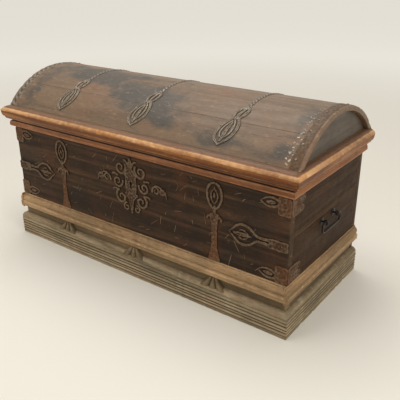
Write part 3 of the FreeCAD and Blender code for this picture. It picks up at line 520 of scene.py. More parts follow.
class Shell:
    """A closed skin: points, quads and caps, with how rubbed, how dirty and how stained each point is; the
    rubbed mark also holds painted highlight and the dirty mark painted shade.
    """

    def __init__(self, points, quads, caps=(), edge=0.0, hollow=0.0, stain=0.0):
        self.points = np.asarray(points, dtype=float).reshape(-1, 3)
        self.quads = np.asarray(quads)
        self.caps = [np.asarray(cap) for cap in caps]
        count = len(self.points)
        self.marks = {
            name: np.broadcast_to(values, np.shape(values) or count).ravel()
            for name, values in (("edge", edge), ("hollow", hollow), ("stain", stain))
        }
        if self.volume() < 0:
            self.quads = self.quads[:, ::-1]
            self.caps = [cap[::-1] for cap in self.caps]

    def volume(self):
        """Each quad is two triangles and each cap a fan: corner dot (corner cross corner), summed, over 6."""
        fans = [np.column_stack([np.full(len(cap) - 2, cap[0]), cap[1:-1], cap[2:]]) for cap in self.caps]
        triangles = np.concatenate([self.quads[:, [0, 1, 2]], self.quads[:, [0, 2, 3]], *fans])
        first, second, third = self.points[triangles].transpose(1, 0, 2)
        return np.einsum("ij,ij->", first, np.cross(second, third)) / 6


def make_piece(name, shells, material, body, slot, nodes=()):
    """Joins shells in one mesh and hangs it on its body, in place of the CAD nodes that it stands for."""
    starts = np.cumsum([0] + [len(shell.points) for shell in shells])
    faces = []
    for start, shell in zip(starts, shells):
        faces += (shell.quads + start).tolist() + [(cap + start).tolist() for cap in shell.caps]
    mesh = bpy.data.meshes.new(name)
    mesh.from_pydata(np.concatenate([shell.points for shell in shells]).tolist(), [], faces)
    mesh.polygons.foreach_set("use_smooth", np.ones(len(mesh.polygons), dtype=bool))
    mesh.set_sharp_from_angle(angle=CREASE)
    for mark in ("edge", "hollow", "stain"):
        values = np.concatenate([shell.marks[mark] for shell in shells]).astype(np.float32)
        mesh.attributes.new(mark, "FLOAT", "POINT").data.foreach_set("value", values)
    mesh.materials.append(material)
    piece = bpy.data.objects.new(name, mesh)
    bpy.context.collection.objects.link(piece)
    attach(piece, body)
    if nodes:
        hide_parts(*nodes)
    return piece


def tube(points, halves=False, **marks):
    """A shell from rings of a closed section: quads between neighbouring rings and a cap on each end.

    A section of two facing halves, such as an arch, is closed by a strip of quads from one half to the other.
    """
    rings, around = points.shape[:2]
    index = np.arange(rings * around).reshape(rings, around)
    after = np.roll(index, -1, axis=1)
    quads = np.stack([index[:-1], after[:-1], after[1:], index[1:]], axis=-1).reshape(-1, 4)
    if not halves:
        return Shell(points, quads, (index[0][::-1], index[-1]), **marks)
    ends = index[[0, -1]]
    near, far = ends[:, :around // 2], ends[:, :around // 2 - 1:-1]
    strips = np.stack([near[:, :-1], near[:, 1:], far[:, 1:], far[:, :-1]], axis=-1)
    strips[0] = strips[0][:, ::-1]
    return Shell(points, np.concatenate([quads, strips.reshape(-1, 4)]), **marks)


def ripple(u, v, seed, longest, waves=14):
    """A smooth random surface from -1 to 1: sine waves of random heading, longer ones weighing more."""
    chance = np.random.default_rng(seed)
    heading = chance.uniform(0, 2 * np.pi, waves)
    phase = chance.uniform(0, 2 * np.pi, waves)
    length = longest * np.geomspace(1, 0.12, waves)
    across = np.multiply.outer(u, np.cos(heading) / length) + np.multiply.outer(v, np.sin(heading) / length)
    return np.sin(2 * np.pi * across + phase) @ (length / length.sum())


print("piece helpers ready")

# %% [markdown]
# ## Sections
# A moulding or a board is a closed section carried along a line. The section is traced through its stops
# in the complex plane: a stop of two shares ends a straight stretch,
# and a stop of four ends an arc through a middle.
# Resampling it at an even step rounds its arrises a little, as years of hands have done.
# How much the outline turns near a point tells an arris, which rubs bright and on the mouldings also takes
# painted highlight, from a hollow, which fills with dirt.


# %% Sections
def arc_between(start, middle, end, count):
    """Points on the circle through three points; its centre is equally far from all three."""
    ratio = (end - start) / (middle - start)
    centre = start - (start - middle) * (ratio - abs(ratio) ** 2) / 2j / ratio.imag
    to_middle = np.angle((middle - centre) / (start - centre))
    sweep = to_middle + np.angle((end - centre) / (middle - centre))
    return centre + (start - centre) * np.exp(1j * sweep * np.linspace(0, 1, count)[1:])


def trace(stops, width, height):
    """The outline through its stops, as complex numbers: outwards is real and up is imaginary."""
    scaled = [np.array(stop[0::2]) * width + 1j * np.array(stop[1::2]) * height for stop in stops]
    here = scaled[-1][-1]
    runs = []
    for stop in scaled:
        if len(stop) == 1:
            runs.append(here + (stop[0] - here) * np.linspace(0, 1, 12)[1:])
        else:
            runs.append(arc_between(here, stop[0], stop[1], 24))
        here = stop[-1]
    return np.concatenate(runs)


def even_loop(outline, step):
    """A closed outline sampled at an even step along its length, anticlockwise."""
    closed = np.append(outline, outline[0])
    along = np.concatenate(([0], np.cumsum(np.abs(np.diff(closed)))))
    count = int(round(along[-1] / step))
    loop = np.interp(np.arange(count) * along[-1] / count, along, closed)
    area = np.sum((np.conj(loop) * np.roll(loop, -1)).imag)
    return loop if area > 0 else loop[::-1]


def turning(loop, reach):
    """The angle an anticlockwise outline turns through within a reach of points: above 0 on an arris."""
    step = np.roll(loop, -1) - loop
    angle = np.angle(step / np.roll(step, 1))
    shifts = np.arange(-reach, reach + 1)
    weights = 1 - np.abs(shifts) / (reach + 1)
    return sum(weight * np.roll(angle, shift) for shift, weight in zip(shifts, weights))


def inward(loop):
    """The unit normal into an anticlockwise outline: the mean heading of two steps, turned left."""
    step = np.roll(loop, -1) - loop
    heading = step / np.abs(step)
    tangent = heading + np.roll(heading, 1)
    return 1j * tangent / np.abs(tangent)


def drawn_in(depth, arris):
    """How far a rounded arris lies below a flat face, as on a quarter circle: r (1 - sqrt(1 - s^2))."""
    short = np.clip(1 - depth / arris, 0, 1)
    return arris * (1 - np.sqrt(1 - short ** 2))


def rounded_run(start, end, count, arris):
    """Places at an even step along a run, with a few close together where its ends are rounded."""
    round_end = arris * np.array((0, 0.15, 0.5, 1))
    return np.concatenate([start + round_end, np.linspace(start, end, count)[1:-1], (end - round_end)[::-1]])


print("sections ready")

# %% [markdown]
# ## Mouldings
# Plinth, cap, rim and lid mouldings were planed with shaped irons and nailed on, mitred at the front corners.
# Each is one section carried along its run; at a mitre the run grows by as much as the point stands out.
# Knocks are round dents strewn along the arrises, and a slow ripple keeps the long lines from looking drawn.
# Undersides are darkened with painted shade: a point that faces down counts as a hollow.
# The outer part of a top has a continuous pale stripe: partly wear where hands rest, partly painted
# highlight.
# The inner part of a top takes the stain colour.

# %% Mouldings
PROFILE_STEP = 1.3 * MM
RUN_STEP = 4.0 * MM
LID_PROFILE = (
    (0, 0), (0.40, 0), (0.58, 0.05, 0.72, 0.18), (0.76, 0.24), (0.84, 0.26), (0.94, 0.42, 0.97, 0.62),
    (1.0, 0.64), (1.0, 0.72), (0.72, 0.90, 0.40, 1.0), (0, 1.0),
)
RIM_PROFILE = (
    (0, 0), (0.25, 0), (0.45, 0.10), (0.90, 0.18, 1.0, 0.42), (1.0, 0.56), (0.93, 0.60),
    (0.84, 0.78, 0.50, 0.86), (0.50, 1.0), (0, 1.0),
)
CAP_PROFILE = (
    (0, 0), (0.30, 0), (0.85, 0.08, 1.0, 0.27), (0.98, 0.42, 0.82, 0.46), (0.76, 0.50), (0.76, 0.55),
    (0.83, 0.58), (0.70, 0.78, 0.22, 0.90), (0.22, 1.0), (0, 1.0),
)
PLINTH_PROFILE = (
    (0, 0), (0.90, 0), (0.94, 0.03), (0.94, 0.10), (0.86, 0.12),
    (0.99, 0.19, 0.87, 0.26), (0.98, 0.31, 0.86, 0.36), (1.0, 0.43, 0.87, 0.50), (0.98, 0.56, 0.87, 0.62),
    (0.99, 0.69, 0.88, 0.76), (0.90, 0.775), (0.80, 0.90, 0.24, 1.0), (0, 1.0),
)
UP = np.array((0, 0, 1))


def run_of(node, side):
    """Where a run starts, which way it goes, which way is out, its length and how far it stands out."""
    low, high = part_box(node)
    if side == "front":
        start, along, out = (low.x, high.y, low.z), (1, 0, 0), (0, -1, 0)
    elif side == "left":
        start, along, out = (high.x, high.y, low.z), (0, -1, 0), (-1, 0, 0)
    else:
        start, along, out = (low.x, low.y, low.z), (0, 1, 0), (1, 0, 0)
    extent = np.array(high - low)
    return np.array(start), np.array(along), np.array(out), extent @ np.abs(along), extent @ np.abs(out)


def knocks(along, seed, spacing, width, depth):
    """Dents along a run: a sum of bell curves at random places, of random width and depth."""
    chance = np.random.default_rng(seed)
    count = max(2, int((along.max() - along.min()) / spacing))
    centre = chance.uniform(along.min(), along.max(), count)
    reach = width * chance.uniform(0.4, 1.6, count)
    deep = depth * chance.uniform(0.2, 1.0, count) ** 2
    gap = (along[..., None] - centre) / reach
    return (np.exp(-gap * gap) * deep).sum(-1)


def moulding(node, side, profile, mitred, seed, ruin, wear_and_highlight, top_tint, dirt_and_shade):
    """Carries a profile along its run: start + along * s + out * u + up * v, with s grown at mitres."""
    start, along, out, length, project = run_of(node, side)
    low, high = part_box(node)
    loop = even_loop(trace(profile, project, high.z - low.z), PROFILE_STEP)
    bend = turning(loop, 3)
    arris = np.clip(bend / 0.9 - 0.15, 0, 1) * np.clip(loop.real / (0.5 * project), 0, 1)
    facing_down = inward(loop).imag
    # Faces that look down are darkened as painted shade, through the hollow mark; concave bends take grime.
    under = np.clip(facing_down * 1.5 - 0.5, 0, 0.95)
    hollow = np.maximum(np.clip(-bend / 0.8, 0, 1), under) * dirt_and_shade
    top = np.clip(-facing_down * 2 - 0.6, 0, 1)
    # A pale stripe on the outer part of each top: partly wear, partly painted highlight.
    wear_and_highlight_stripe = wear_and_highlight * top * np.clip((loop.real / project - 0.62) / 0.18, 0, 1)
    # The inner part of each top takes the stain colour.
    tinted_top = top_tint * top * (1 - wear_and_highlight_stripe)
    grows = {"front": (1, 1), "left": (0, 1), "right": (1, 0)}[side]
    first = grows[0] * (project - loop.real) * mitred
    last = length - grows[1] * (project - loop.real) * mitred
    s = first + (last - first) * np.linspace(0, 1, int(length / RUN_STEP))[:, None]
    rough = knocks(s, seed, spacing=60 * MM, width=7 * MM, depth=2.2 * MM * ruin) * arris
    wander = ripple(s, np.arange(len(loop)) * PROFILE_STEP * 4 + 0 * s, seed + 1, 0.3)
    rough += (0.5 + 0.5 * wander) * 0.6 * MM * ruin
    rough *= np.clip(loop.real / (3 * MM), 0, 1)
    section = loop + inward(loop) * rough
    points = start + s[..., None] * along + section.real[..., None] * out + section.imag[..., None] * UP
    patch = np.clip(0.5 + 0.8 * ripple(s, section.imag * 6, seed + 2, 0.5), 0, 1)
    # Arrises and the top stripe take the light worn colour: partly wear, partly painted highlight.
    edge = np.clip(np.maximum(arris, wear_and_highlight_stripe) + rough / (2 * MM) * (arris > 0), 0, 1) * (0.55 + 0.45 * patch)
    stain = np.maximum(patch * (0.55 - 0.30 * top_tint), tinted_top * (0.75 + 0.25 * patch))
    return tube(points, edge=edge, hollow=hollow + 0 * s, stain=stain)


# Each moulding: profile, mitred or not, body, tone, slot, ruin, its top stripe of wear and painted highlight,
# its top tint, and its hollow grime and underside painted shade.
MOULDINGS = {
    "lid_moulding": (LID_PROFILE, True, "lid", "moulding", "moulding_oak", 0.7, 1.0, 0.9, 1.0),
    "rim_moulding": (RIM_PROFILE, True, "carcass", "rim", "moulding_oak", 0.6, 0.0, 0.9, 1.0),
    "plinth_cap": (CAP_PROFILE, False, "carcass", "cap", "plinth_oak", 1.0, 0.5, 0.0, 0.5),
    "plinth": (PLINTH_PROFILE, True, "carcass", "plinth", "plinth_oak", 1.7, 0.0, 0.0, 1.0),
}
for number, (name, choice) in enumerate(MOULDINGS.items()):
    profile, mitred, body, tone, slot, ruin, wear_and_highlight, top_tint, dirt_and_shade = choice
    for turn, side in enumerate(("front", "left", "right")):
        node = f"{name}_{side}"
        shell = moulding(node, side, profile, mitred, 100 * number + 10 * turn, ruin, wear_and_highlight, top_tint, dirt_and_shade)
        make_piece(node + "_worn", [shell], OAK[tone, "x" if side == "front" else "y"], body, slot, (node,))
    print(name, len(shell.quads), "quads in a side run")

# %% [markdown]
# ## Dome staves
# The lid is coopered: five long staves, bevelled to each other, make an arch on two rails and two end panels.
# Each stave is an arched section carried along the chest.
# The dome's circle comes from the rails and the crown.
# The staves were planed flush together, so one slow unevenness runs over them all and the seams hardly show.
# Old stains lie across them: each is a soft oval, told by where it is along the chest and round the arch,
# and a ripple shifts the place before it is looked up, which gives the stains their broken edges.

# %% Dome staves
RAIL_LOW, RAIL_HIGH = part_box("lid_rail_front")
BACK_RAIL_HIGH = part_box("lid_rail_back")[1]
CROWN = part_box("lid_stave_3")[1].z
DOME_HALF = (BACK_RAIL_HIGH.y - RAIL_LOW.y) / 2
DOME_RISE = CROWN - RAIL_HIGH.z
DOME_RADIUS = (DOME_HALF ** 2 + DOME_RISE ** 2) / (2 * DOME_RISE)
DOME_Y = (BACK_RAIL_HIGH.y + RAIL_LOW.y) / 2
DOME_Z = CROWN - DOME_RADIUS
DOME_ANGLE = math.asin(DOME_HALF / DOME_RADIUS)
STAVE_THICK = 18 * MM
STAVE_COUNT = 5
STAVE_STEP = 7 * MM
STAVE_ACROSS = 56
STAVE_ARRIS = 2.4 * MM
DOME_SEED = 40
# Each stain: place along the chest in metres, degrees round the arch, length, degrees of width and strength.
STAINS = (
    (-0.42, -6, 0.16, 12, 0.9), (-0.27, -13, 0.12, 9, 0.8), (-0.06, -27, 0.13, 10, 1.0),
    (0.02, -20, 0.14, 8, 0.9), (0.10, -38, 0.10, 8, 0.8), (-0.60, -30, 0.05, 30, 0.6),
    (0.62, -22, 0.04, 26, 0.6), (0.58, -46, 0.06, 5, 0.6), (-0.15, -3, 0.30, 5, 0.6),
    (0.35, -44, 0.14, 6, 0.6), (0.40, 30, 0.30, 12, 0.7), (-0.35, 26, 0.22, 10, 0.8),
)


def dome_stain(x, angle):
    """How stained the dome is at a place: the sum of soft ovals, exp(-(dx/a)^2 - (da/b)^2) each."""
    arc = angle * DOME_RADIUS
    shifted = x + 0.07 * ripple(x + 0 * arc, 2.5 * arc + 0 * x, seed=71, longest=0.22)
    turned = np.degrees(angle) + 7 * ripple(0.6 * x + 0 * arc, arc + 0 * x, seed=72, longest=0.13)
    total = 0
    for centre, turn, long, wide, strength in STAINS:
        total = total + strength * np.exp(-((shifted - centre) / long) ** 2 - ((turned - turn) / wide) ** 2)
    return np.clip(total, 0, 1)


def stave(index, seed):
    """An arched section, radius times (sin a, cos a), carried along x, its ends drawn in by the arris."""
    low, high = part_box(f"lid_stave_{index + 1}")
    first = DOME_ANGLE * (2 * index / STAVE_COUNT - 1)
    last = DOME_ANGLE * (2 * (index + 1) / STAVE_COUNT - 1)
    inner = DOME_RADIUS - STAVE_THICK
    foot = math.acos((DOME_RADIUS - DOME_RISE) / inner)
    inner_first, inner_last = np.clip((first, last), -foot, foot)
    outer_arc = DOME_RADIUS * np.exp(1j * (np.pi / 2 - np.linspace(first, last, STAVE_ACROSS)))
    inner_arc = inner * np.exp(1j * (np.pi / 2 - np.linspace(inner_first, inner_last, STAVE_ACROSS)))
    loop = np.concatenate([inner_arc, outer_arc[::-1]])
    arris = np.clip(turning(loop, 1) / 0.9, 0, 1)
    x = rounded_run(low.x, high.x, int((high.x - low.x) / STAVE_STEP), STAVE_ARRIS)
    end_gap = np.minimum(x - low.x, high.x - x)
    drawn = drawn_in(end_gap, STAVE_ARRIS)
    outside = np.clip((np.abs(loop) - inner) / STAVE_THICK, 0, 1)
    angle = np.pi / 2 - np.angle(loop)
    uneven = 0.5 + 0.5 * ripple(x[:, None] + 0 * angle, angle * DOME_RADIUS + 0 * x[:, None], DOME_SEED, 0.45)
    dents = knocks(x, seed, spacing=90 * MM, width=9 * MM, depth=0.5 * MM)[:, None] * arris
    rough = uneven * 0.9 * MM * outside + dents
    chips = knocks(angle * DOME_RADIUS, seed + 1, spacing=26 * MM, width=5 * MM, depth=3.5 * MM)
    chipped = chips * np.exp(-end_gap / (5 * MM))[:, None]
    rough = rough + drawn[:, None] + chipped * outside
    section = loop + inward(loop) * rough
    points = np.stack([x[:, None] + 0 * rough, DOME_Y + section.real, DOME_Z + section.imag], axis=-1)
    rubbed = np.clip(arris + 0.5 * np.exp(-end_gap / (7 * MM))[:, None] * outside, 0, 1)
    seam = np.clip(arris * 0.45, 0, 1) * (outside > 0.7) * (end_gap[:, None] > 15 * MM)
    stained = dome_stain(x[:, None], angle) * outside
    return tube(points, halves=True, edge=rubbed * (1 - seam), hollow=seam, stain=stained)


for index in range(STAVE_COUNT):
    node = f"lid_stave_{index + 1}"
    shell = stave(index, DOME_SEED + 5 * index)
    made = make_piece(node + "_board", [shell], OAK["dome", "x"], "lid", "lid_oak", (node,))
print("staves on a circle of", round(DOME_RADIUS / MM, 1), "mm,", len(made.data.polygons), "faces each")

# %% [markdown]
# ## Boards
# The chest is nailed together from thick sawn boards. A board is a rounded rectangle carried along its grain,
# slightly cupped, with softened arrises and rounded ends.
# The front board laps the end boards, so its end grain shows as a strip at the corner.


# %% Boards
def board(node, axis, arris, seed):
    """A rounded rectangle carried along the grain; at each end it shrinks as a quarter circle does."""
    low, high = (np.array(corner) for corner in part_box(node))
    b, c = [other for other in range(3) if other != axis]
    wide, tall = (high - low)[[b, c]]
    u, v = arris / wide, arris / tall
    w, t = u * (1 - math.sqrt(0.5)), v * (1 - math.sqrt(0.5))
    stops = (
        (1 - u, 0), (1 - w, t, 1, v), (1, 1 - v), (1 - w, 1 - t, 1 - u, 1),
        (u, 1), (w, 1 - t, 0, 1 - v), (0, v), (w, t, u, 0),
    )
    loop = even_loop(trace(stops, wide, tall), BOARD_OUTLINE_STEP)
    corner = np.clip(turning(loop, 3) / 0.8, 0, 1)
    count = max(8, int((high - low)[axis] / BOARD_STEP))
    s = rounded_run(low[axis], high[axis], count, arris)
    from_end = np.minimum(s - low[axis], high[axis] - s)
    drawn = drawn_in(from_end, arris)[:, None]
    across = loop.imag + loop.real + 0 * s[:, None]
    cupped = (0.5 + 0.5 * ripple(s[:, None] + 0 * loop.real, across, seed, 0.6)) * 0.5 * MM
    dents = knocks(s, seed + 1, spacing=80 * MM, width=8 * MM, depth=1.5 * MM)[:, None] * corner
    section = loop + inward(loop) * (drawn + cupped + dents)
    points = np.empty(section.shape + (3,))
    points[..., axis] = s[:, None]
    points[..., b] = low[b] + section.real
    points[..., c] = low[c] + section.imag
    edge = np.clip(corner + np.exp(-from_end / (6 * MM))[:, None], 0, 1)
    blotches = ripple(points[..., 0] + points[..., 1], points[..., 2] * 0.3, seed + 3, 0.5)
    return tube(points, edge=edge, stain=np.clip(0.3 + 0.9 * blotches, 0, 1) * 0.6)


BOARD_ARRIS = 2.5 * MM
BOARD_STEP = 14 * MM
BOARD_OUTLINE_STEP = 3.0 * MM
BOARD_SEED = 700
# Each board: the axis of its grain, body, tone and slot.
BOARDS = {
    "back_board": (0, "carcass", "front", "carcass_oak"),
    "plinth_back": (0, "carcass", "plinth", "plinth_oak"),
    "lid_rail_front": (0, "lid", "dome", "lid_oak"),
    "lid_rail_back": (0, "lid", "dome", "lid_oak"),
}
BOARDS.update({f"end_board_{side}_{height}": (1, "carcass", "end", "carcass_oak")
               for side in ("left", "right") for height in ("lower", "upper")})
BOARDS.update({f"bottom_board_{number}": (0, "carcass", "inside", "inner_oak") for number in (1, 2, 3)})
for number, (node, (axis, body, tone, slot)) in enumerate(BOARDS.items()):
    shell = board(node, axis, BOARD_ARRIS, BOARD_SEED + 10 * number)
    make_piece(node + "_sawn", [shell], OAK[tone, "xy"[axis]], body, slot, (node,))
print("boards", len(BOARDS))

# %% [markdown]
# ## Cut plates
# The ironwork and the front board are flat shapes with holes. A shape is a distance field: below 0 inside it.
# The field is read on a grid, cells that it touches are kept, and their outer corners are drawn in
# to the outline, which leaves a smooth edge at any hole.
# Then the face is raised by how deep inside the outline a point lies.


# %% Cut plates
def plate(gap, u, v, rise, place, mark=None):
    """A closed plate: gap(u, v) < 0 inside; rise(depth, u, v) lifts its face; place(u, v, h) puts it down."""
    u, v = np.meshgrid(u, v, indexing="ij")
    inside = gap(u, v) < 0
    kept = inside[:-1, :-1] | inside[1:, :-1] | inside[:-1, 1:] | inside[1:, 1:]
    nudge = 0.02 * MM
    for _ in range(2):
        outside = np.clip(gap(u, v), 0, None)
        slope_u = (gap(u + nudge, v) - gap(u - nudge, v)) / (2 * nudge)
        slope_v = (gap(u, v + nudge) - gap(u, v - nudge)) / (2 * nudge)
        steep = np.maximum(slope_u ** 2 + slope_v ** 2, 0.2)
        u = u - outside * slope_u / steep
        v = v - outside * slope_v / steep
    index = np.arange(u.size).reshape(u.shape)
    quads = np.stack([index[:-1, :-1], index[1:, :-1], index[1:, 1:], index[:-1, 1:]], axis=-1)[kept]
    used, quads = np.unique(quads, return_inverse=True)
    quads = quads.reshape(-1, 4)
    u, v = u.ravel()[used], v.ravel()[used]
    depth = np.clip(-gap(u, v), 0, None)
    sides = np.concatenate([quads[:, [0, 1]], quads[:, [1, 2]], quads[:, [2, 3]], quads[:, [3, 0]]])
    ordered = np.sort(sides, axis=1)
    labels = ordered[:, 0] * len(used) + ordered[:, 1]
    _, first, times = np.unique(labels, return_index=True, return_counts=True)
    rim = sides[first[times == 1]]
    walls = np.column_stack([rim[:, 1], rim[:, 0], rim[:, 0] + len(used), rim[:, 1] + len(used)])
    faces = np.concatenate([quads, quads[:, ::-1] + len(used), walls])
    points = np.concatenate([place(u, v, rise(depth, u, v)), place(u, v, 0 * u)])
    marks = mark(depth, u, v) if mark else {}
    both_faces = {name: np.concatenate([values, values]) for name, values in marks.items()}
    return Shell(points, faces, **both_faces)


def keyhole_gap(u, v):
    """A round hole with a slot below it: the nearer of a circle and a box."""
    circle = np.hypot(u - KEYHOLE[0], v - KEYHOLE[1]) - KEYHOLE_RADIUS
    aside = np.abs(u - KEYHOLE[0]) - KEYHOLE_SLOT / 2
    below = np.abs(v - KEYHOLE[1] + KEYHOLE_DROP / 2) - KEYHOLE_DROP / 2
    return np.minimum(circle, np.maximum(aside, below))


KEYHOLE = (0.0, 0.396)
KEYHOLE_RADIUS = 5.5 * MM
KEYHOLE_SLOT = 6 * MM
KEYHOLE_DROP = 20 * MM
FRONT_LOW, FRONT_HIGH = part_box("front_board")
FRONT_Y = FRONT_LOW.y
FRONT_ARRIS = 3 * MM


def front_gap(u, v):
    """The board's rectangle, with the keyhole taken out."""
    aside = np.maximum(FRONT_LOW.x - u, u - FRONT_HIGH.x)
    above = np.maximum(FRONT_LOW.z - v, v - FRONT_HIGH.z)
    return np.maximum(np.maximum(aside, above), -keyhole_gap(u, v))


def spread(low, high, step, middle):
    """Grid lines at an even step, closer at both ends and round a middle."""
    near = np.array((0, 0.4, 1, 2, 3.5, 6, 10, 16)) * MM
    fine = middle + np.arange(-34, 35) * MM
    lines = np.concatenate([np.arange(low, high, step), low + near, high - near, fine])
    return np.unique(np.round(np.clip(lines, low, high), 5))


def front_rise(depth, u, v):
    """The board's thickness, with its arris rounded as a quarter circle and a slow unevenness."""
    uneven = (0.5 + 0.5 * ripple(u, v * 3, seed=21, longest=0.7)) * 0.5 * MM
    return FRONT_HIGH.y - FRONT_Y - drawn_in(depth, FRONT_ARRIS) - uneven


# Each zone: its middle and its width along the board. Each oval of painted shade round the ironwork: x and z,
# half its width and height.
FRONT_ZONES = ((-0.47, 0.06), (-0.20, 0.05), (0.06, 0.07), (0.24, 0.05), (0.38, 0.04), (0.60, 0.05))
FRONT_SHADE_OVALS = (
    (0.0, 0.385, 0.105, 0.125), (-0.38, 0.425, 0.05, 0.09), (0.38, 0.425, 0.05, 0.09),
    (-0.51, 0.36, 0.09, 0.06), (0.51, 0.36, 0.09, 0.06),
)


def front_marks(depth, u, v):
    """Rubbed near the corners, redder in upright zones of thin finish, darkened with painted shade in ovals
    round the ironwork.
    """
    zones = sum(np.exp(-((u - centre) / wide) ** 2) for centre, wide in FRONT_ZONES)
    fade = 0.55 + 0.45 * ripple(u * 2, v, seed=22, longest=0.3)
    # Painted shade: soft ovals darken the board round the escutcheon, the strap loops and the corner straps.
    dirt_and_shade = sum(np.exp(-((u - x) / wide) ** 4 - ((v - z) / tall) ** 4) for x, z, wide, tall in FRONT_SHADE_OVALS)
    stain = np.clip(zones * fade, 0, 1) * 0.8
    return {"edge": np.exp(-depth / (5 * MM)), "hollow": 0.6 * dirt_and_shade * fade, "stain": stain}


def on_front_board(u, v, h):
    return np.column_stack([u, FRONT_HIGH.y - h, v])


shell = plate(front_gap, spread(FRONT_LOW.x, FRONT_HIGH.x, 12 * MM, KEYHOLE[0]),
              spread(FRONT_LOW.z, FRONT_HIGH.z, 8 * MM, KEYHOLE[1]), front_rise, on_front_board, front_marks)
board_piece = make_piece("front_board_sawn", [shell], OAK["front", "x"],
                         "carcass", "carcass_oak", ("front_board",))
RECESS_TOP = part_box("plinth_cap_front")[0].z + 4 * MM


def finish_below(piece, material, level):
    """Gives the faces whose middle lies below a level a second finish."""
    mesh = piece.data
    mesh.materials.append(material)
    middles = np.empty(len(mesh.polygons) * 3)
    mesh.polygons.foreach_get("center", middles)
    mesh.polygons.foreach_set("material_index", (middles[2::3] < level).astype(np.int32))


finish_below(board_piece, OAK["recess", "x"], RECESS_TOP)
for side in ("left", "right"):
    finish_below(bpy.data.objects[f"end_board_{side}_lower_sawn"], OAK["recess", "y"], RECESS_TOP)
print("front board", len(shell.quads), "quads")

# %% [markdown]
# ## Wrought ornament
# The smith cut leaves, loops and scrolls out of sheet, and rolled their edges up with a hammer.
# Each figure is drawn with round pen strokes: centres along a curve, with a radius at each centre.
# The nearest stroke gives the distance field,
# and the rolled edge is a ridge a few millimetres in from the outline.


# %% Wrought ornament
def radii_along(share, radii):
    """The pen's radius at each share of a stroke, which runs through a list of radii in millimetres."""
    return np.interp(share, np.linspace(0, 1, len(radii)), np.array(radii) * MM)


def stroke(stops, radii, count=28):
    """A pen stroke along a cubic curve with four stops, or a straight one with two; radii run end to end."""
    share = np.linspace(0, 1, count)
    stops = np.array(stops) * MM
    if len(stops) == 2:
        centres = stops[0] + (stops[1] - stops[0]) * share
    else:
        left = 1 - share
        weights = np.stack([left ** 3, 3 * share * left ** 2, 3 * share ** 2 * left, share ** 3])
        centres = stops @ weights
    return centres, radii_along(share, radii)


def scroll(eye, outer, inner, start, turns, radii, count=44):
    """A pen stroke along a spiral that winds in from an outer to an inner radius round its eye."""
    share = np.linspace(0, 1, count)
    reach = (outer + (inner - outer) * share ** 0.8) * MM
    centres = eye * MM + reach * np.exp(1j * (math.radians(start) + 2 * np.pi * turns * share))
    return centres, radii_along(share, radii)


def both_sides(strokes):
    """The strokes and their mirror images across the middle line."""
    return strokes + [(-np.conj(centres), radii) for centres, radii in strokes]


def stroke_gap(strokes):
    """The distance to the nearest pen disc, less its radius."""
    centres = np.concatenate([centre for centre, _ in strokes])
    radii = np.concatenate([radius for _, radius in strokes])

    def gap(u, v):
        here = u + 1j * v
        best = np.full(here.shape, np.inf)
        for centre, radius in zip(centres, radii):
            best = np.minimum(best, np.abs(here - centre) - radius)
        return best

    return gap


LID_BEAD, LID_RISE = 2.0 * MM, 3.8 * MM
FRONT_BEAD, FRONT_RISE = 3.6 * MM, 5.2 * MM
CREST_WEAR_AND_HIGHLIGHT = 1.3 * MM


def rolled_rise(bead, rise):
    """A quarter-round edge up to a bead along the outline, then a sunk field with hammer marks."""
    def lift(depth, u, v):
        edge = np.sqrt(1 - np.clip(1 - depth / bead, 0, 1) ** 2)
        ridge = np.exp(-((depth - bead) / (0.85 * bead)) ** 2)
        beaten = 0.12 * ripple(u, v, seed=31, longest=0.03)
        return rise * (0.10 + edge * (0.30 + 0.60 * ridge + beaten))
    return lift


def rolled_marks(bead, bloom):
    """Bare on the bead's crest, partly wear and partly painted highlight; painted shade at the foot and in
    the sunk field; bloom(u, v) is bright rust.
    """
    def marks(depth, u, v):
        # The crest's bare stripe is partly wear and partly painted highlight; the foot, where the iron meets
        # the board, and the sunk field are darkened as painted shade.
        ridge = np.exp(-((depth - bead) / CREST_WEAR_AND_HIGHLIGHT) ** 2)
        field = np.clip((depth - 2 * bead) / (2 * bead), 0, 0.35)
        foot = np.clip(1 - depth / (0.45 * bead), 0, 1)
        stain = bloom(u, v) if bloom else 0 * u
        return {"edge": ridge * (1 - stain), "hollow": np.maximum(field, foot), "stain": stain}
    return marks


def ornament(gap, box, place, bead, rise, step=1.5 * MM, bloom=None):
    """A plate of ornament read from its field over a box, at the step of its grid."""
    (left, right), (low, high) = box
    u = np.arange(left, right + step, step)
    v = np.arange(low, high + step, step)
    return plate(gap, u, v, rolled_rise(bead, rise), place, rolled_marks(bead, bloom))


def on_front(x, z):
    """Puts a figure on the front board with its origin at a place."""
    def place(u, v, h):
        return np.column_stack([x + u, FRONT_Y - h, z + v])
    return place


def round_dome(reach, angle):
    """The y and z of a place, from its distance to the dome's axis and its angle from the crown."""
    return DOME_Y + reach * np.sin(angle), DOME_Z + reach * np.cos(angle)


def on_dome(x, angle, lean=0.0):
    """Wraps a figure round the dome: v runs along the arch towards the front from an angle, leaning aside."""
    def place(u, v, h):
        turn = angle - (v - lean * u) / DOME_RADIUS
        y, z = round_dome(DOME_RADIUS + h, turn)
        return np.column_stack([x + u - lean * v, y, z])
    return place


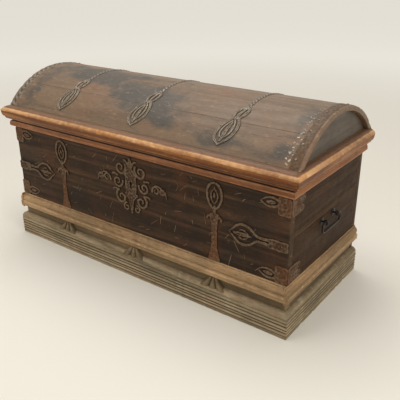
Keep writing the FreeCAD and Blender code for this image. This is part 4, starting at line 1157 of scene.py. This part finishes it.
LEAF = both_sides([
    stroke((2 + 0j, 24 + 12j, 25 + 40j, 7 + 60j), (6, 5, 4.5)),
    stroke((7 + 58j, 26 + 78j, 44 + 114j, 26 + 146j), (5, 5.5, 5.5, 5)),
    stroke((26 + 146j, 18 + 158j, 6 + 164j, 0 + 172j), (5, 4.5, 3)),
    stroke((4 + 72j, 17 + 92j, 27 + 116j, 9 + 142j), (3.4, 4, 3)),
]) + [
    stroke((0 - 4j, 0 + 64j), (8, 4.5, 5)),
    stroke((0 + 80j, 0 + 156j), (3.5, 6, 7, 4)),
]
HINGE_LOW, HINGE_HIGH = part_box("hinge_pins")
PIN_Y = (HINGE_LOW.y + HINGE_HIGH.y) / 2
PIN_Z = (HINGE_LOW.z + HINGE_HIGH.z) / 2
BACK_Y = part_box("back_board")[1].y
LEAF_BOX = ((-48 * MM, 48 * MM), (-14 * MM, 178 * MM))
LEAF_ROOT = math.radians(-19.4)
LEAF_LEAN = 0.14
ROPE_HALF = 7.5 * MM
ROPE_RISE = 2.9 * MM
ROPE_LAY = 17 * MM


def rope_strap(x, first, half, lay_length):
    """A half-round strap over the arch; its height swells and sinks on a slant, as twisted strands do."""
    angle = np.linspace(first, DOME_ANGLE, 220)
    around = np.linspace(0, np.pi, 13)
    u = half * np.cos(around) * np.ones((len(angle), 1))
    lay = np.sin(2 * np.pi * (angle[:, None] * DOME_RADIUS / lay_length + 0.45 * np.cos(around)))
    h = ROPE_RISE * np.sin(around) * (0.74 + 0.26 * lay)
    y, z = round_dome(DOME_RADIUS + h, angle[:, None])
    rubbed = (0.35 + 0.35 * lay) * np.sin(around)
    return tube(np.stack([x + u, y, z], axis=-1), edge=rubbed, hollow=0.45 - 0.35 * lay)


# No bar or nail points this way, so its cross product with one is never zero.
ASKEW = (0.31, 0.59, 0.74)


def rod(start, end, radius, rings=6, around=20):
    """A round bar along an axis: circles of one radius, drawn in a little at both ends."""
    start, end = np.array(start), np.array(end)
    along = (end - start) / np.linalg.norm(end - start)
    side = np.cross(along, ASKEW)
    side = side / np.linalg.norm(side)
    other = np.cross(along, side)
    share = np.concatenate([[0, 0.03], np.linspace(0.06, 0.94, rings), [0.97, 1]])
    reach = radius * np.where((share == 0) | (share == 1), 0.86, 1.0)
    turn = np.linspace(0, 2 * np.pi, around, endpoint=False)
    ring = np.cos(turn)[:, None] * side + np.sin(turn)[:, None] * other
    points = start + (end - start) * share[:, None, None] + reach[:, None, None] * ring
    return tube(points, edge=np.where(reach < radius, 0.9, 0.3)[:, None] + 0 * turn)


def box_gap(left, right, low, high, corner):
    """The distance to a rectangle with rounded corners."""
    def gap(u, v):
        du = np.abs(u - (left + right) / 2) - (right - left) / 2 + corner
        dv = np.abs(v - (low + high) / 2) - (high - low) / 2 + corner
        return np.hypot(np.maximum(du, 0), np.maximum(dv, 0)) + np.minimum(np.maximum(du, dv), 0) - corner
    return gap


def on_back(x, y):
    """Puts a figure on the back of the chest: u to the side and v straight up."""
    def place(u, v, h):
        return np.column_stack([x + u, y + h, v])
    return place


HINGE_SIDES = ("left", "middle", "right")
HINGE_STEP = 2 * MM
HINGE_HALF = 17 * MM
KNUCKLE = 11 * MM
KNUCKLE_START = KNUCKLE / 2 + 0.3 * MM
KNUCKLE_RADIUS = 5.95 * MM
HINGE_RISE = 3.4 * MM
for side in HINGE_SIDES:
    node = f"lid_strap_{side}"
    low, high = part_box(f"hinge_leaf_{side}")
    middle = (low.x + high.x) / 2
    leaf_place = on_dome(middle, LEAF_ROOT, LEAF_LEAN)
    leaf = ornament(stroke_gap(LEAF), LEAF_BOX, leaf_place, LID_BEAD, LID_RISE)
    flap_gap = box_gap(-HINGE_HALF, HINGE_HALF, PIN_Z + 7 * MM, RAIL_HIGH.z + 2 * MM, corner=4 * MM)
    flap = ornament(flap_gap, ((-HINGE_HALF, HINGE_HALF), (PIN_Z + 5 * MM, RAIL_HIGH.z + 4 * MM)),
                    on_back(middle, BACK_Y), LID_BEAD, HINGE_RISE, HINGE_STEP)
    barrel = rod((middle - KNUCKLE / 2, PIN_Y, PIN_Z), (middle + KNUCKLE / 2, PIN_Y, PIN_Z), KNUCKLE_RADIUS)
    rope = rope_strap(middle, LEAF_ROOT, ROPE_HALF, ROPE_LAY)
    make_piece(node + "_forged", [leaf, rope, flap, barrel], IRON["strap"], "lid", "wrought_iron", (node,))
    fixed = f"hinge_leaf_{side}"
    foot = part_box(fixed)[0].z
    leaf_gap = box_gap(-HINGE_HALF, HINGE_HALF, foot, PIN_Z - 6.5 * MM, corner=HINGE_HALF - 1 * MM)
    fixed_leaf = ornament(leaf_gap, ((-HINGE_HALF, HINGE_HALF), (foot, PIN_Z - 5 * MM)),
                          on_back(middle, BACK_Y), LID_BEAD, HINGE_RISE, HINGE_STEP)
    knuckles = [
        rod((middle + way * KNUCKLE_START, PIN_Y, PIN_Z), (middle + way * 1.5 * KNUCKLE, PIN_Y, PIN_Z),
            KNUCKLE_RADIUS)
        for way in (-1, 1)
    ]
    make_piece(fixed + "_forged", [fixed_leaf] + knuckles, IRON["strap"], "carcass", "wrought_iron", (fixed,))
    print("strap and hinge", side, "at", round(middle / MM), "mm")

# %% [markdown]
# ## End bands
# A thin band is nailed along each end of the dome. The left one still has its raised, twisted strand;
# the right one has worn to a thin grey skin with a ragged inner edge.
# Both are a flat section carried round the arch, with an inner edge that wanders.


# %% End bands
def end_band(node, rise, ragged, seed):
    """A low rounded strip: rings round the arch, whose inner edge wanders by a ripple."""
    low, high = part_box(node)
    way = 1 if low.x > 0 else -1
    angle = np.linspace(-DOME_ANGLE, DOME_ANGLE, 240)
    around = np.linspace(0, np.pi, 15)
    wide = (high.x - low.x) * (1 - ragged * (0.5 + 0.5 * ripple(angle * DOME_RADIUS, 0 * angle, seed, 0.12)))
    outer = high.x if way > 0 else low.x
    across = wide[:, None] * (0.5 - 0.5 * np.cos(around))
    beaten = 0.8 + 0.2 * ripple(across, angle[:, None] * DOME_RADIUS + 0 * across, seed + 1, 0.03)
    h = rise * np.sin(around) ** 0.35 * beaten
    y, z = round_dome(DOME_RADIUS + BAND_LIFT + h, angle[:, None])
    rim = np.clip(1 - np.sin(around) * 1.6, 0, 1) + 0 * across
    return tube(np.stack([outer - way * across, y, z], axis=-1), edge=rim, stain=0.15 + 0 * across)


BAND_LIFT = 0.1 * MM
BAND_RISE = 1.2 * MM
BAND_SEED = 61
STRAND_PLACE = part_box("lid_band_left")[0].x + 15 * MM
strand = rope_strap(STRAND_PLACE, -DOME_ANGLE, half=11 * MM, lay_length=26 * MM)
band = end_band("lid_band_left", BAND_RISE, ragged=0.35, seed=BAND_SEED)
make_piece("lid_band_left_worn", [band, strand], IRON["strap"], "lid", "wrought_iron", ("lid_band_left",))
band = end_band("lid_band_right", BAND_RISE, ragged=0.45, seed=BAND_SEED)
make_piece("lid_band_right_worn", [band], IRON["band"], "lid", "wrought_iron", ("lid_band_right",))
print("end bands ready")

# %% [markdown]
# ## Ironwork on the front
# Two upright straps with looped tops, two straps that reach in from the corners, four corner irons
# and the lock's escutcheon are nailed to the front. They are drawn with the same strokes as the lid's leaves.
# A strap's plain part is a bar whose half-width swells at both ends, w(v) = w0 + two bell curves.

# %% Upright straps
CAP_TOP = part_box("plinth_cap_front")[1].z
BAR_TOP = 172.0
LOOP_BOX = ((-40 * MM, 40 * MM), (0, 302 * MM))
LOOP = both_sides([
    stroke((4 + 28j, 26 + 38j, 38 + 80j, 24 + 104j), (5, 5.5, 5.5)),
    stroke((24 + 104j, 17 + 117j, 8 + 121j, 0 + 122j), (5.5, 5.5, 5.5)),
    stroke((0 + 46j, 17 + 58j, 19 + 86j, 0 + 100j), (3.6, 4.2, 3.6)),
    stroke((0 + 6j, 13 + 5j), (8, 6)),
    stroke((6 - 4j, 16 + 2j, 28 + 0j, 29 - 13j), (6.5, 5.5, 5)),
]) + [
    stroke((0 + 0j, 0 + 36j), (9, 6.5, 6)),
    stroke((0 + 68j, 0 + 84j), (3.5, 5.5, 3.5)),
]
LOOP = [(centres + 1j * BAR_TOP * MM, radii) for centres, radii in LOOP]


def bar_gap(u, v):
    """A bar that starts on the plinth cap: half-width 12 mm, and 26 mm at its foot and 20 mm at its top."""
    foot = 14 * np.exp(-(v / (36 * MM)) ** 2)
    head = 8 * np.exp(-((v - BAR_TOP * MM) / (22 * MM)) ** 2)
    half = (12 + foot + head) * MM
    return np.maximum(np.abs(u) - half, np.maximum(-v, v - BAR_TOP * MM))


def bar_bloom(u, v):
    """The bar is rustier than the loop above it, in patches."""
    patches = 0.65 + 0.35 * ripple(u, v, seed=51, longest=0.08)
    return np.clip(1.1 - v / (BAR_TOP * MM), 0, 1) ** 0.5 * patches


def either(first, second):
    """Both shapes together: the smaller distance."""
    return lambda u, v: np.minimum(first(u, v), second(u, v))


for side in ("left", "right"):
    node = f"front_strap_{side}"
    low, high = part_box(node)
    shell = ornament(either(bar_gap, stroke_gap(LOOP)), LOOP_BOX,
                     on_front((low.x + high.x) / 2, CAP_TOP), FRONT_BEAD, FRONT_RISE, bloom=bar_bloom)
    make_piece(node + "_forged", [shell], IRON["front"], "carcass", "wrought_iron", (node,))
print("upright straps", len(shell.quads), "quads each")

# %% Corner straps and corner irons
HALF_LENGTH = FRONT_HIGH.x


def from_corner(side, z):
    """Puts a figure on the front with u measured in from a corner of the chest."""
    def place(u, v, h):
        return np.column_stack([side * (HALF_LENGTH - u), FRONT_Y - h, z + v])
    return place


def round_corner(side, z):
    """Puts a figure on an end of the chest with u measured back from the front."""
    def place(u, v, h):
        return np.column_stack([side * (HALF_LENGTH + h), FRONT_Y + u, z + v])
    return place


def over_and_under(strokes):
    """The strokes and their mirror images below the middle line."""
    return strokes + [(np.conj(centres), radii) for centres, radii in strokes]


REACH = over_and_under([
    stroke((66 + 11j, 88 + 6j, 104 + 5j, 122 + 12j), (7, 6, 5.5)),
    stroke((122 + 12j, 140 + 34j, 176 + 48j, 200 + 22j), (5.5, 6, 5.5)),
    stroke((200 + 22j, 208 + 13j, 216 + 6j, 226 + 0j), (5, 4, 2.6)),
    stroke((146 + 0j, 154 + 14j, 172 + 22j, 184 + 12j), (3, 4, 3.2)),
]) + [
    stroke((138 + 0j, 204 + 0j), (3.5, 8, 9, 4)),
    scroll(34 + 0j, 20, 6, 200, 1.2, (5, 4)),
]
REACH_PLATE = box_gap(0, 72 * MM, -19 * MM, 19 * MM, corner=6 * MM)
REACH_BOX = ((0, 230 * MM), (-46 * MM, 46 * MM))
CORNER_EYE = [
    stroke((36 + 24j, 54 + 48j, 84 + 48j, 108 + 30j), (6, 5.5, 3.5)),
    stroke((36 + 24j, 54 + 4j, 84 + 6j, 108 + 30j), (6, 5.5, 3.5)),
    stroke((58 + 26j, 84 + 29j), (6, 9, 5)),
]


def corner_bloom(u, v):
    """Hands and damp reach the irons at the corner, and leave them rusty there."""
    return np.clip(0.75 - u / (110 * MM), 0, 1) * (0.7 + 0.3 * ripple(u, v, seed=52, longest=0.06))


CORNER_RISE = 3.6 * MM
CORNER_PLATE = box_gap(-3 * MM, 46 * MM, 0, 66 * MM, corner=9 * MM)
CORNER_BOX = ((-3 * MM, 112 * MM), (0, 66 * MM))
WRAP_LOBES = [stroke((60 + 18j, 74 + 16j), (18, 15)), stroke((60 + 50j, 70 + 52j), (15, 12))]
CORNER_WRAP = either(box_gap(0, 62 * MM, 0, 66 * MM, corner=6 * MM), stroke_gap(WRAP_LOBES))
WRAP_BOX = ((0, 90 * MM), (0, 66 * MM))
for side, way in (("left", -1), ("right", 1)):
    node = f"corner_strap_{side}"
    low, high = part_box(node)
    level = (low.z + high.z) / 2
    shell = ornament(either(REACH_PLATE, stroke_gap(REACH)), REACH_BOX,
                     from_corner(way, level), FRONT_BEAD, FRONT_RISE)
    make_piece(node + "_forged", [shell], IRON["front"], "carcass", "wrought_iron", (node,))
    for height, flip in (("lower", 1), ("upper", -1)):
        node = f"corner_iron_{height}_{side}"
        low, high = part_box(node)
        level = low.z if flip > 0 else high.z
        face = from_corner(way, level)
        wrap = round_corner(way, level)
        front = ornament(either(CORNER_PLATE, stroke_gap(CORNER_EYE)), CORNER_BOX,
                         lambda u, v, h: face(u, flip * v, h), FRONT_BEAD, CORNER_RISE, bloom=corner_bloom)
        end = ornament(CORNER_WRAP, WRAP_BOX, lambda u, v, h: wrap(u, flip * v, h),
                       FRONT_BEAD, CORNER_RISE, bloom=corner_bloom)
        make_piece(node + "_forged", [front, end], IRON["front"], "carcass", "wrought_iron", (node,))
print("corner straps and irons ready")

# %% [markdown]
# ## Escutcheon
# The plate round the keyhole is the richest iron on the chest: pairs of C-scrolls, a leaf crest and a pendant
# round an oval shield, with two loose scrolls beside it. Spirals wind in to each scroll's eye.
# The keyhole is taken out of the field, so the hole goes through the plate as it does through the board.

# %% Escutcheon
SHIELD_LEVEL = (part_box("escutcheon")[0].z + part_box("escutcheon")[1].z) / 2
SHIELD_BOX = ((-102 * MM, 102 * MM), (-118 * MM, 118 * MM))
SHIELD = both_sides([
    scroll(50 + 66j, 30, 7, 150, 1.25, (6.5, 5.5, 4)),
    scroll(66 + 8j, 26, 6, 170, 1.3, (6, 5, 4)),
    scroll(50 - 52j, 30, 7, 60, -1.25, (6.5, 5.5, 4)),
    scroll(26 - 88j, 17, 5, 90, -1.1, (5, 4)),
    stroke((8 + 78j, 14 + 92j, 22 + 104j, 30 + 100j), (6, 5.5, 4)),
    stroke((68 + 33j, 78 + 37j, 88 + 40j, 92 + 34j), (5.5, 5, 4)),
    stroke((65 - 26j, 76 - 22j, 88 - 22j, 93 - 29j), (5.5, 5, 4)),
    stroke((0 + 40j, 24 + 44j), (14, 9)),
    stroke((0 - 30j, 24 - 34j), (14, 9)),
]) + [
    stroke((0 - 34j, 0 + 44j), (25, 30, 27)),
    stroke((0 + 56j, 0 + 111j), (14, 11, 10, 4)),
    stroke((0 - 50j, 0 - 112j), (14, 11, 9, 3)),
]
SIDE_BOX = ((98 * MM, 178 * MM), (-20 * MM, 48 * MM))
SIDE_SCROLL = [
    scroll(123 + 12j, 19, 5, 200, -1.3, (5.5, 4.5, 3.5)),
    stroke((121 + 30j, 134 + 36j, 146 + 28j, 152 + 20j), (5, 4.5, 4.5)),
    stroke((150 + 12j, 158 + 12j), (12, 12)),
    stroke((156 + 22j, 166 + 20j, 172 + 8j, 171 - 10j), (4.5, 4.5, 3)),
]


def shield_gap(u, v):
    """The shield's strokes, less the keyhole."""
    return np.maximum(SHIELD_FIELD(u, v), -keyhole_gap(u, v + SHIELD_LEVEL))


SHIELD_FIELD = stroke_gap(SHIELD)
shell = ornament(shield_gap, SHIELD_BOX, on_front(0, SHIELD_LEVEL), FRONT_BEAD, FRONT_RISE, step=1.3 * MM)
make_piece("escutcheon_forged", [shell], IRON["front"], "carcass", "wrought_iron", ("escutcheon",))
side_gap = stroke_gap(SIDE_SCROLL)
scrolls = [
    ornament(side_gap, SIDE_BOX, lambda u, v, h, way=way: on_front(0, SHIELD_LEVEL)(way * u, v, h),
             FRONT_BEAD, FRONT_RISE)
    for way in (-1, 1)
]
make_piece("escutcheon_scrolls_forged", scrolls, IRON["front"],
           "carcass", "wrought_iron", ("escutcheon_scrolls",))
print("escutcheon", len(shell.quads), "quads")

# %% [markdown]
# ## Carved fans
# Under the plinth cap sit three carved wedges, fluted like a leaf, whose feet run out over the plinth's top.
# Each is a plate whose half-width narrows upwards; flutes run out from a point above it,
# and the face slopes back from its foot to its top.

# %% Carved fans
FAN_LOW, FAN_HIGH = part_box("plinth_fans")
FAN_TALL = FAN_HIGH.z - FAN_LOW.z
FAN_NODE_HALF = 48 * MM
FAN_PLACE = FAN_HIGH.x - FAN_NODE_HALF
FAN_FOOT = 13 * MM
FAN_REACH = 22 * MM
FAN_HALF = 57 * MM


def fan_share(v):
    """0 at the foot, which is sunk in the plinth's top, and 1 under the cap."""
    return np.clip((v + FAN_FOOT) / (FAN_TALL + FAN_FOOT), 0, 1)


def fan_gap(u, v):
    """Inside while |u| is under the half-width, which falls from foot to top along a hollow curve."""
    half = FAN_HALF * (0.30 + 0.70 * (1 - fan_share(v)) ** 1.2)
    return np.maximum(np.abs(u) - half, np.maximum(-v - FAN_FOOT, v - FAN_TALL))


def fan_flute(u, v):
    """1 on a ridge and 0 in a groove: |cos| of the heading from a point above the top."""
    heading = np.arctan2(u, FAN_TALL * 1.5 - v)
    return np.abs(np.cos(heading * 5.5))


def fan_rise(depth, u, v):
    """Sloping back as it rises, with its flutes raised and its rim rounded off."""
    slope = 1 - 0.62 * fan_share(v)
    soft = np.clip(depth / (3 * MM), 0, 1) ** 0.5
    return FAN_REACH * slope * (0.30 + 0.70 * soft * (0.55 + 0.45 * fan_flute(u, v)))


def fan_marks(_depth, u, v):
    """Rubbed along its ridges and dirty in its grooves."""
    flute = fan_flute(u, v)
    return {"edge": np.clip(flute * 1.6 - 0.9, 0, 1), "hollow": np.clip(0.9 - 1.4 * flute, 0, 1)}


FAN_STEP = 1.2 * MM
fan_u = np.arange(-FAN_HALF, FAN_HALF + FAN_STEP, FAN_STEP)
fan_v = np.arange(-FAN_FOOT, FAN_TALL + FAN_STEP, FAN_STEP)
fans = [
    plate(fan_gap, fan_u, fan_v, fan_rise, on_front(FAN_PLACE * way, FAN_LOW.z), fan_marks)
    for way in (-1, 0, 1)
]
make_piece("plinth_fans_carved", fans, OAK["recess", "x"], "carcass", "plinth_oak", ("plinth_fans",))
print("fans", len(fans))

# %% [markdown]
# ## Nails
# Hand-made nails hold the iron and the mouldings. Each head is a low dome: rings that shrink as a circle's
# height rises, closed by a small cap. All the heads on one body are one piece.
# Where the right band has broken away, pale scraps of it are left in a ragged line:
# a thin plate that is kept only where a ripple rises above a level.


# %% Nails
def nail_heads(places, normals, radius):
    """Domes: place + normal * height * sin(a) + radius * cos(a) around, for all the nails at once."""
    places, normals = np.array(places), np.array(normals)
    side = np.cross(normals, ASKEW)
    side /= np.linalg.norm(side, axis=1, keepdims=True)
    other = np.cross(normals, side)
    lift = np.radians((0, 25, 50, 75))
    turn = np.linspace(0, 2 * np.pi, 10, endpoint=False)
    ring = np.cos(turn)[:, None] * side[:, None, :] + np.sin(turn)[:, None] * other[:, None, :]
    size = radius * np.random.default_rng(8).uniform(0.8, 1.15, len(places))[:, None, None, None]
    points = places[:, None, None, :] + size * np.cos(lift)[:, None, None] * ring[:, None, :, :]
    points = points + size * 0.55 * np.sin(lift)[:, None, None] * normals[:, None, None, :]
    return [tube(nail, edge=np.linspace(0, 1, 4)[:, None] + np.zeros(10)) for nail in points]


def front_point(x, z, lift):
    return (x, FRONT_Y - lift, z)


def dome_point(x, angle, lift):
    turn = math.radians(angle)
    return (x, DOME_Y + (DOME_RADIUS + lift) * math.sin(turn), DOME_Z + (DOME_RADIUS + lift) * math.cos(turn))


def dome_normal(angle):
    return (0, math.sin(math.radians(angle)), math.cos(math.radians(angle)))


STRAP_X = [sum(corner.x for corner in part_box(f"hinge_leaf_{side}")) / 2 for side in HINGE_SIDES]
BAR_X = sum(corner.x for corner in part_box("front_strap_right")) / 2
ON_IRON = 1.8 * MM
ON_WRAP = 1.2 * MM
ON_STRAP = 1.5 * MM
FRONT_NAILS = (
    (BAR_X, 0.215), (BAR_X, 0.290), (BAR_X, 0.352), (BAR_X, 0.470), (0.640, 0.332), (0.606, 0.332),
    (0.486, 0.332), (0.636, 0.460), (0.590, 0.478), (0.636, 0.238), (0.590, 0.222), (0.075, 0.400),
    (0.030, 0.335),
)
END_NAILS = (
    (-0.215, 0.235, ON_WRAP), (-0.215, 0.462, ON_WRAP), (0.237, 0.465, 0),
    (-0.250, 0.30, 0), (-0.250, 0.42, 0),
)
front_nails = [front_point(x * way, z, ON_IRON) for way in (-1, 1) for x, z in FRONT_NAILS]
front_nails += [front_point(0, z, ON_IRON) for z in (0.487, 0.440, 0.300)]
end_nails = [(way * (HALF_LENGTH + lift), y, z) for way in (-1, 1) for y, z, lift in END_NAILS]
normals = [(0, -1, 0)] * len(front_nails) + [(np.sign(place[0]), 0, 0) for place in end_nails]
heads = nail_heads(front_nails + end_nails, normals, radius=4.2 * MM)
make_piece("nails_carcass", heads, IRON["front"], "carcass", "wrought_iron")
# On the dome a nail's place is told in metres along the chest and degrees from the crown.
STRAP_NAILS = (-21, 6, 20, 34, 46)
LEAF_NAIL_ASIDE = LEAF_LEAN * 0.115
LEAF_NAIL_TURN = math.degrees(LEAF_ROOT) - 18.7
BAND_NAIL_X = 0.656
LOOSE_NAIL = (-0.017, -46)
lid_nails = [(x, angle) for x in STRAP_X for angle in STRAP_NAILS]
lid_nails += [(x - LEAF_NAIL_ASIDE, LEAF_NAIL_TURN) for x in STRAP_X]
lid_nails += [(way * BAND_NAIL_X, angle) for way in (-1, 1) for angle in range(-46, 47, 9)] + [LOOSE_NAIL]
heads = nail_heads([dome_point(x, angle, ON_STRAP) for x, angle in lid_nails],
                   [dome_normal(angle) for _, angle in lid_nails], radius=4.0 * MM)
make_piece("nails_lid", heads, IRON["strap"], "lid", "wrought_iron")
FLAKE_FIRST = -6
FLAKE_LONG = 270 * MM
FLAKE_WIDE = 26 * MM
FLAKE_SUNK = 0.9 * MM
FLAKE_STEP = 1.1 * MM


def flake_gap(u, v):
    """Inside where a ripple rises above a level, which climbs away from the old edge and from the front."""
    level = 0.10 + 0.30 * (u / (13 * MM)) ** 2 + 0.26 * (1 - v / FLAKE_LONG)
    return 4 * MM * (level - ripple(u, v, seed=83, longest=18 * MM))


def flake_rise(depth, _u, _v):
    return FLAKE_SUNK * 1.15 + 0.6 * MM * np.clip(depth / (1.2 * MM), 0, 1) ** 0.5


def on_old_edge(u, v, h):
    return on_dome(FLAKE_X, math.radians(FLAKE_FIRST))(u, v, h - FLAKE_SUNK)


FLAKE_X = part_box("lid_band_right")[0].x - 2 * MM
flake_u = np.arange(-FLAKE_WIDE, FLAKE_WIDE, FLAKE_STEP)
flake_v = np.arange(0, FLAKE_LONG, FLAKE_STEP)
flakes = plate(flake_gap, flake_u, flake_v, flake_rise, on_old_edge)
make_piece("band_flakes", [flakes], IRON["remains"], "lid", "wrought_iron")
nail_count = len(front_nails) + len(end_nails) + len(lid_nails)
print("nails", nail_count, "and flakes of", len(flakes.quads), "quads")

# %% [markdown]
# ## Drop handles
# On each end a forged bail hangs in two eyes. The bail is a round bar carried along a C-shaped path,
# a little thicker in the grip; the eyes are rings stretched along their axis,
# on a shank with a scalloped rose.


# %% Drop handles
def bail(side):
    """Circles along a path in the plane of the end: place = path + r (cos a * normal + sin a * X)."""
    low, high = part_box(f"handle_{side}")
    x = (low.x + high.x) / 2
    radius = (high.x - low.x) / 2
    middle = (low.y + high.y) / 2
    half = (high.y - low.y) / 2 - radius
    top, bottom = high.z - radius, low.z + radius
    drop = top - bottom
    bend = 14 * MM
    inner = 37 * MM
    corner = bend * (1 - math.sqrt(0.5))
    right = [
        np.linspace(inner, half - bend, 12) + 0j,
        arc_between(half - bend + 0j, half - corner - 1j * corner, half - 1j * bend, 14),
        arc_between(half - 1j * (drop - bend), half - corner - 1j * (drop - corner),
                    half - bend - 1j * drop, 14),
        np.linspace(half - bend, 0, 26)[1:-1] - 1j * drop,
    ]
    right = np.concatenate(right)
    path = np.concatenate([right, -np.conj(right[::-1])])
    tangent = np.gradient(path)
    normal = 1j * tangent / np.abs(tangent)
    along = np.concatenate(([0], np.cumsum(np.abs(np.diff(path)))))
    share = along / along[-1]
    thick = radius * (0.80 + 0.20 * np.exp(-((share - 0.5) / 0.16) ** 2))
    thick = thick * np.where((share == 0) | (share == 1), 0.7, 1.0)
    thick = thick * (1 + 0.04 * ripple(along, 0 * along, seed=77, longest=0.03))
    turn = np.linspace(0, 2 * np.pi, 18, endpoint=False)
    section = path[:, None] + thick[:, None] * np.cos(turn) * normal[:, None]
    points = np.stack([x + thick[:, None] * np.sin(turn), middle + section.real, top + section.imag], axis=-1)
    rubbed = np.exp(-((share - 0.5) / 0.12) ** 2)[:, None] + 0 * turn
    return tube(points, edge=rubbed)


EYE_RADIUS = 7.4 * MM
EYE_BAR = 2.1 * MM
EYE_HALF = 4 * MM
EYE_INSET = 15 * MM
SHANK_RADIUS = 3.4 * MM
SHANK_SUNK = 26 * MM
EYE_SHAPE = (28, 12)
ROSE_RADIUS = 14 * MM
ROSE_INNER = 13 * MM
ROSE_LIFT = 0.8 * MM
ROSE_RISE = 3 * MM
ROSE_WAVE = 0.6 * MM
ROSE_LOBES = 8


def eye(x, y, z):
    """A ring round the bail's axis: (R + r cos b) round the axis, stretched to the eye's length along it."""
    around, tube_turn = (np.linspace(0, 2 * np.pi, count, endpoint=False) for count in EYE_SHAPE)
    reach = EYE_RADIUS + EYE_BAR * np.cos(tube_turn)
    points = np.stack([
        x + reach * np.cos(around)[:, None], y + EYE_HALF * np.sin(tube_turn) + 0 * around[:, None],
        z + reach * np.sin(around)[:, None]], axis=-1)
    index = np.arange(math.prod(EYE_SHAPE)).reshape(EYE_SHAPE)
    ahead = np.roll(index, -1, axis=0)
    quads = np.stack([index, np.roll(index, -1, 1), np.roll(ahead, -1, 1), ahead], axis=-1).reshape(-1, 4)
    return Shell(points, quads, edge=np.clip(np.cos(tube_turn), 0, 1) + 0 * around[:, None])


def rose(side, y, z):
    """A domed disc on the end board with a scalloped rim: radius times (1 + 0.07 cos 8a)."""
    turn = np.linspace(0, 2 * np.pi, 48, endpoint=False)
    share = np.linspace(1, 0.12, 9)
    scallop = ROSE_RADIUS * (1 + 0.07 * np.cos(ROSE_LOBES * turn))
    out = share[:, None]
    reach = out * (scallop * out + ROSE_INNER * (1 - out))
    wave = ROSE_WAVE * np.cos(ROSE_LOBES * turn) * out * (1 - out)
    lift = ROSE_RISE * (1 - out ** 2) ** 0.6 + wave
    ring_y, ring_z = y + reach * np.cos(turn), z + reach * np.sin(turn)
    foot = np.stack([side * HALF_LENGTH + 0 * turn, ring_y[0], ring_z[0]], axis=-1)
    dome = np.stack([side * (HALF_LENGTH + ROSE_LIFT + lift), ring_y, ring_z], axis=-1)
    return tube(np.concatenate([foot[None], dome]), edge=np.concatenate([[0], 1 - share])[:, None] + 0 * turn)


for side, way in (("left", -1), ("right", 1)):
    node = f"handle_{side}"
    make_piece(node + "_bail", [bail(side)], IRON["handle"], node, "wrought_iron", (node,))
    low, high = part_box(f"handle_{side}")
    pivot_x, pivot_z = (low.x + high.x) / 2, high.z - (high.x - low.x) / 2
    node = f"handle_eyes_{side}"
    eye_low, eye_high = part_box(f"handle_eyes_{side}")
    shells = []
    for y in (eye_low.y + EYE_INSET, eye_high.y - EYE_INSET):
        shank = rod((way * (HALF_LENGTH - SHANK_SUNK), y, pivot_z), (pivot_x - way * EYE_RADIUS, y, pivot_z),
                    SHANK_RADIUS)
        shells += [eye(pivot_x, y, pivot_z), rose(way, y, pivot_z), shank]
    make_piece(node + "_forged", shells, IRON["handle"], "carcass", "wrought_iron", (node,))
print("handles ready")

# %% [markdown]
# ## Scratches
# Long use has left pale scratches in the black finish of the front.
# Each is a very low ridge of paler, fuzzy wood, a four-sided section carried along a slightly bent line.
# They lie at random, at every slant, and mean nothing.


# %% Scratches
def scratch(x, z, slant, length, bow, wide):
    """A low strip along a bent line: straight along its slant, plus bow times (1 - s^2) across it."""
    share = np.linspace(-1, 1, 12)
    line = x + 1j * z + np.exp(1j * slant) * (share * length / 2 + 1j * bow * (1 - share ** 2))
    side = 1j * np.exp(1j * slant)
    half = wide / 2 * (1.05 - share ** 8)
    left, right = line - side * half, line + side * half
    rings = np.stack([left, line, right, line], axis=1)
    lift = np.array((0.05, 0.40, 0.05, -0.30)) * MM + 0 * half[:, None]
    return tube(np.stack([rings.real, FRONT_Y - lift, rings.imag], axis=-1), edge=0.6 + 0 * lift)


chance = np.random.default_rng(5)
SCRATCH_COUNT = 90
scratches = [
    scratch(chance.uniform(-0.60, 0.60), chance.uniform(0.215, 0.485), chance.normal(0.7, 0.8),
            chance.uniform(8, 52) * MM, chance.normal(0, 0.9) * MM, chance.uniform(0.7, 1.7) * MM)
    for _ in range(SCRATCH_COUNT)
]
make_piece("front_scratches", scratches, OAK["scratch", "x"], "carcass", "carcass_oak")
print("scratches", SCRATCH_COUNT)

# %% [markdown]
# ## Plain CAD solids that stay
# The lock, its staple, the hinge pins and the lid's end panels already have the right shape in CAD,
# so they stay and take a finish.
# Their meshes are loose triangles: a Weld joins them and a narrow Bevel takes the sharpness off the arrises.


# %% Finishes for the CAD solids
def dress(node, material, arris=1.2 * MM):
    piece = frame["nodes"][node]
    piece.data.materials.clear()
    piece.data.materials.append(material)
    piece.modifiers.new("weld", "WELD").merge_threshold = 0.01 * MM
    bevel = piece.modifiers.new("arris", "BEVEL")
    bevel.width = arris
    bevel.segments = 2
    bevel.limit_method = "ANGLE"


for node in frame["nodes"]:
    if node.startswith(("lock_", "lid_staple")):
        dress(node, IRON["lock"], arris=0.5 * MM)
    elif node == "hinge_pins":
        dress(node, IRON["strap"], arris=0.5 * MM)
    elif node.startswith("lid_end"):
        dress(node, OAK["lid_end", "y"])
print("CAD solids dressed")
